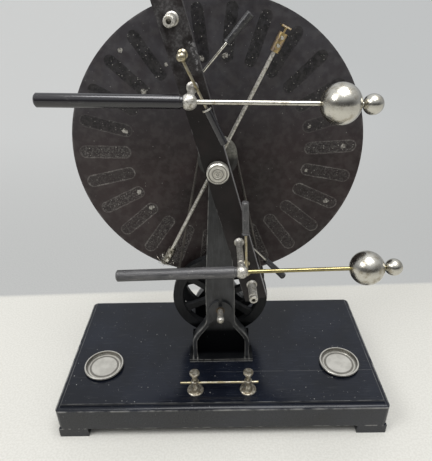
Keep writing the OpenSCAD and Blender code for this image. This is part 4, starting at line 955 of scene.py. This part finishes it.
class MACHINE_OT_brushes(bpy.types.Operator):
    """Fray the tinsel of the four brushes and put in their holders' screws"""
    bl_idname = "machine.brushes"
    bl_label = "Brush tinsel"

    # Distances of the holders' screws from the axle, in millimetres
    SCREWS = (120, 127)

    def execute(self, context):
        brush = context.scene.machine.brush
        for name, side, turn in (("front", -1, brush.turn), ("rear", 1, math.pi - brush.turn)):
            low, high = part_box(name + "_brushes")
            rod_y = high.y - brush.holder_d / 2 if side > 0 else low.y + brush.holder_d / 2
            paths = []
            heads = bmesh.new()
            for half in (0, math.pi):
                out = Vector((math.cos(turn + half), 0, math.sin(turn + half)))
                centre = Vector((0, rod_y, HUB.z))
                paths += self.wires(brush, centre, out, side)
                for distance in self.SCREWS:
                    seat = centre + out * distance * MM + Vector((0, side * brush.holder_d / 2, 0))
                    self.screw(heads, brush, seat, side)
            body = name + "_neutraliser"
            tinsel = strand_mesh(paths, brush.wire_d, False)
            add_piece(name + "_tinsel", tinsel, "aged_nickel", body)
            add_piece(name + "_brush_screws", mesh_from(heads, "screws"), "aged_nickel", body)
        return {"FINISHED"}

    def wires(self, brush, centre, out, side):
        """Paths of one brush's loose wires, from its cross bar towards the plate."""
        chance = random.Random(7)
        along = Vector((-out.z, 0, out.x))
        # The brush at a rod's lower end is frayed wide, and the one at its upper end only a little
        spread = brush.fray * (0.2 if out.z > 0 else 0.8)
        paths = []
        for _ in range(brush.wires):
            start = centre + out * brush.bar_r + along * chance.uniform(-0.45, 0.45) * brush.bar_l
            end = start + (along * chance.gauss(0, 1) + out * chance.gauss(0, 0.8)) * spread
            end.y = side * (abs(PLATE_FACE_Y) + chance.uniform(0.5, 14.0) * MM)
            bow = (along * chance.gauss(0, 1) + out * chance.gauss(0, 1)) * spread
            paths.append([start.lerp(end, i / 8) + bow * math.sin(math.pi * i / 8) for i in range(9)])
        return paths

    def screw(self, heads, brush, seat, side):
        """Adds a screw head that stands on a seat and points away from the plates."""
        turn = Matrix.Rotation(-side * math.pi / 2, 4, "X")
        lift = Matrix.Translation(seat + Vector((0, side * brush.screw_t * 0.3, 0)))
        made = bmesh.ops.create_cone(heads, cap_ends=True, segments=16, radius1=brush.screw_r,
                                     radius2=brush.screw_r * 0.75, depth=brush.screw_t, matrix=lift @ turn)
        bmesh.ops.recalc_face_normals(heads, faces=list({f for v in made["verts"] for f in v.link_faces}))


class MACHINE_OT_collar(bpy.types.Operator):
    """Put the plated collar on the inner end of the upper front lever's grip"""
    bl_idname = "machine.collar"
    bl_label = "Grip collar"

    def execute(self, context):
        collar = context.scene.machine.collar
        # The lever points down to the right from its ball, and the grip's box gives its length
        low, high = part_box("front_lever_upper")
        ball_r = (high.y - low.y) / 2
        pivot = Vector((low.x + ball_r, low.y + ball_r, high.z - ball_r))
        low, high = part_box("front_grip_upper")
        grip_r = (high.y - low.y) / 2
        middle = (low + high) / 2
        out = (middle - pivot).normalized()
        grip_l = (high.x - low.x - 2 * grip_r * abs(out.z)) / out.x
        place = Matrix.Translation(middle - out * (grip_l - collar.length * 1.2) / 2)
        turn = out.to_track_quat("Z", "Y").to_matrix().to_4x4()
        ring = bmesh.new()
        radius = grip_r + collar.lip
        bmesh.ops.create_cone(ring, cap_ends=True, segments=48, radius1=radius, radius2=radius,
                              depth=collar.length, matrix=place @ turn)
        # Only the two rims are rounded, whose edges run across the grip
        edges = [e for e in ring.edges if abs((e.verts[0].co - e.verts[1].co).normalized().dot(out)) < 0.5]
        bmesh.ops.bevel(ring, geom=edges, offset=collar.lip, segments=3, profile=0.5, affect="EDGES")
        bmesh.ops.recalc_face_normals(ring, faces=ring.faces)
        add_piece("grip_collar", mesh_from(ring, "collar"), "dull_nickel", "front_lever_set_upper")
        return {"FINISHED"}


class MACHINE_PT_panel(bpy.types.Panel):
    bl_label = "Influence Machine"
    bl_idname = "MACHINE_PT_panel"
    bl_space_type = "VIEW_3D"
    bl_region_type = "UI"
    bl_category = "Machine"

    def draw(self, context):
        for step in STEPS:
            self.layout.operator(step.bl_idname)


STEPS = (MACHINE_OT_stage, MACHINE_OT_finishes, MACHINE_OT_belts, MACHINE_OT_foil, MACHINE_OT_brushes,
         MACHINE_OT_collar)
GROUPS = (BeltSettings, PlateSettings, BrushSettings, CollarSettings, FinishSettings, StageSettings,
          MachineSettings)


def register():
    for group in GROUPS + STEPS + (MACHINE_PT_panel,):
        bpy.utils.register_class(group)
    bpy.types.Scene.machine = PointerProperty(type=MachineSettings)


def unregister():
    del bpy.types.Scene.machine
    for group in reversed(GROUPS + STEPS + (MACHINE_PT_panel,)):
        bpy.utils.unregister_class(group)


def main():
    register()
    bpy.ops.machine.stage()
    bpy.ops.machine.finishes()
    bpy.ops.machine.belts()
    bpy.ops.machine.foil()
    bpy.ops.machine.brushes()
    bpy.ops.machine.collar()


if __name__ == "__main__":
    main()
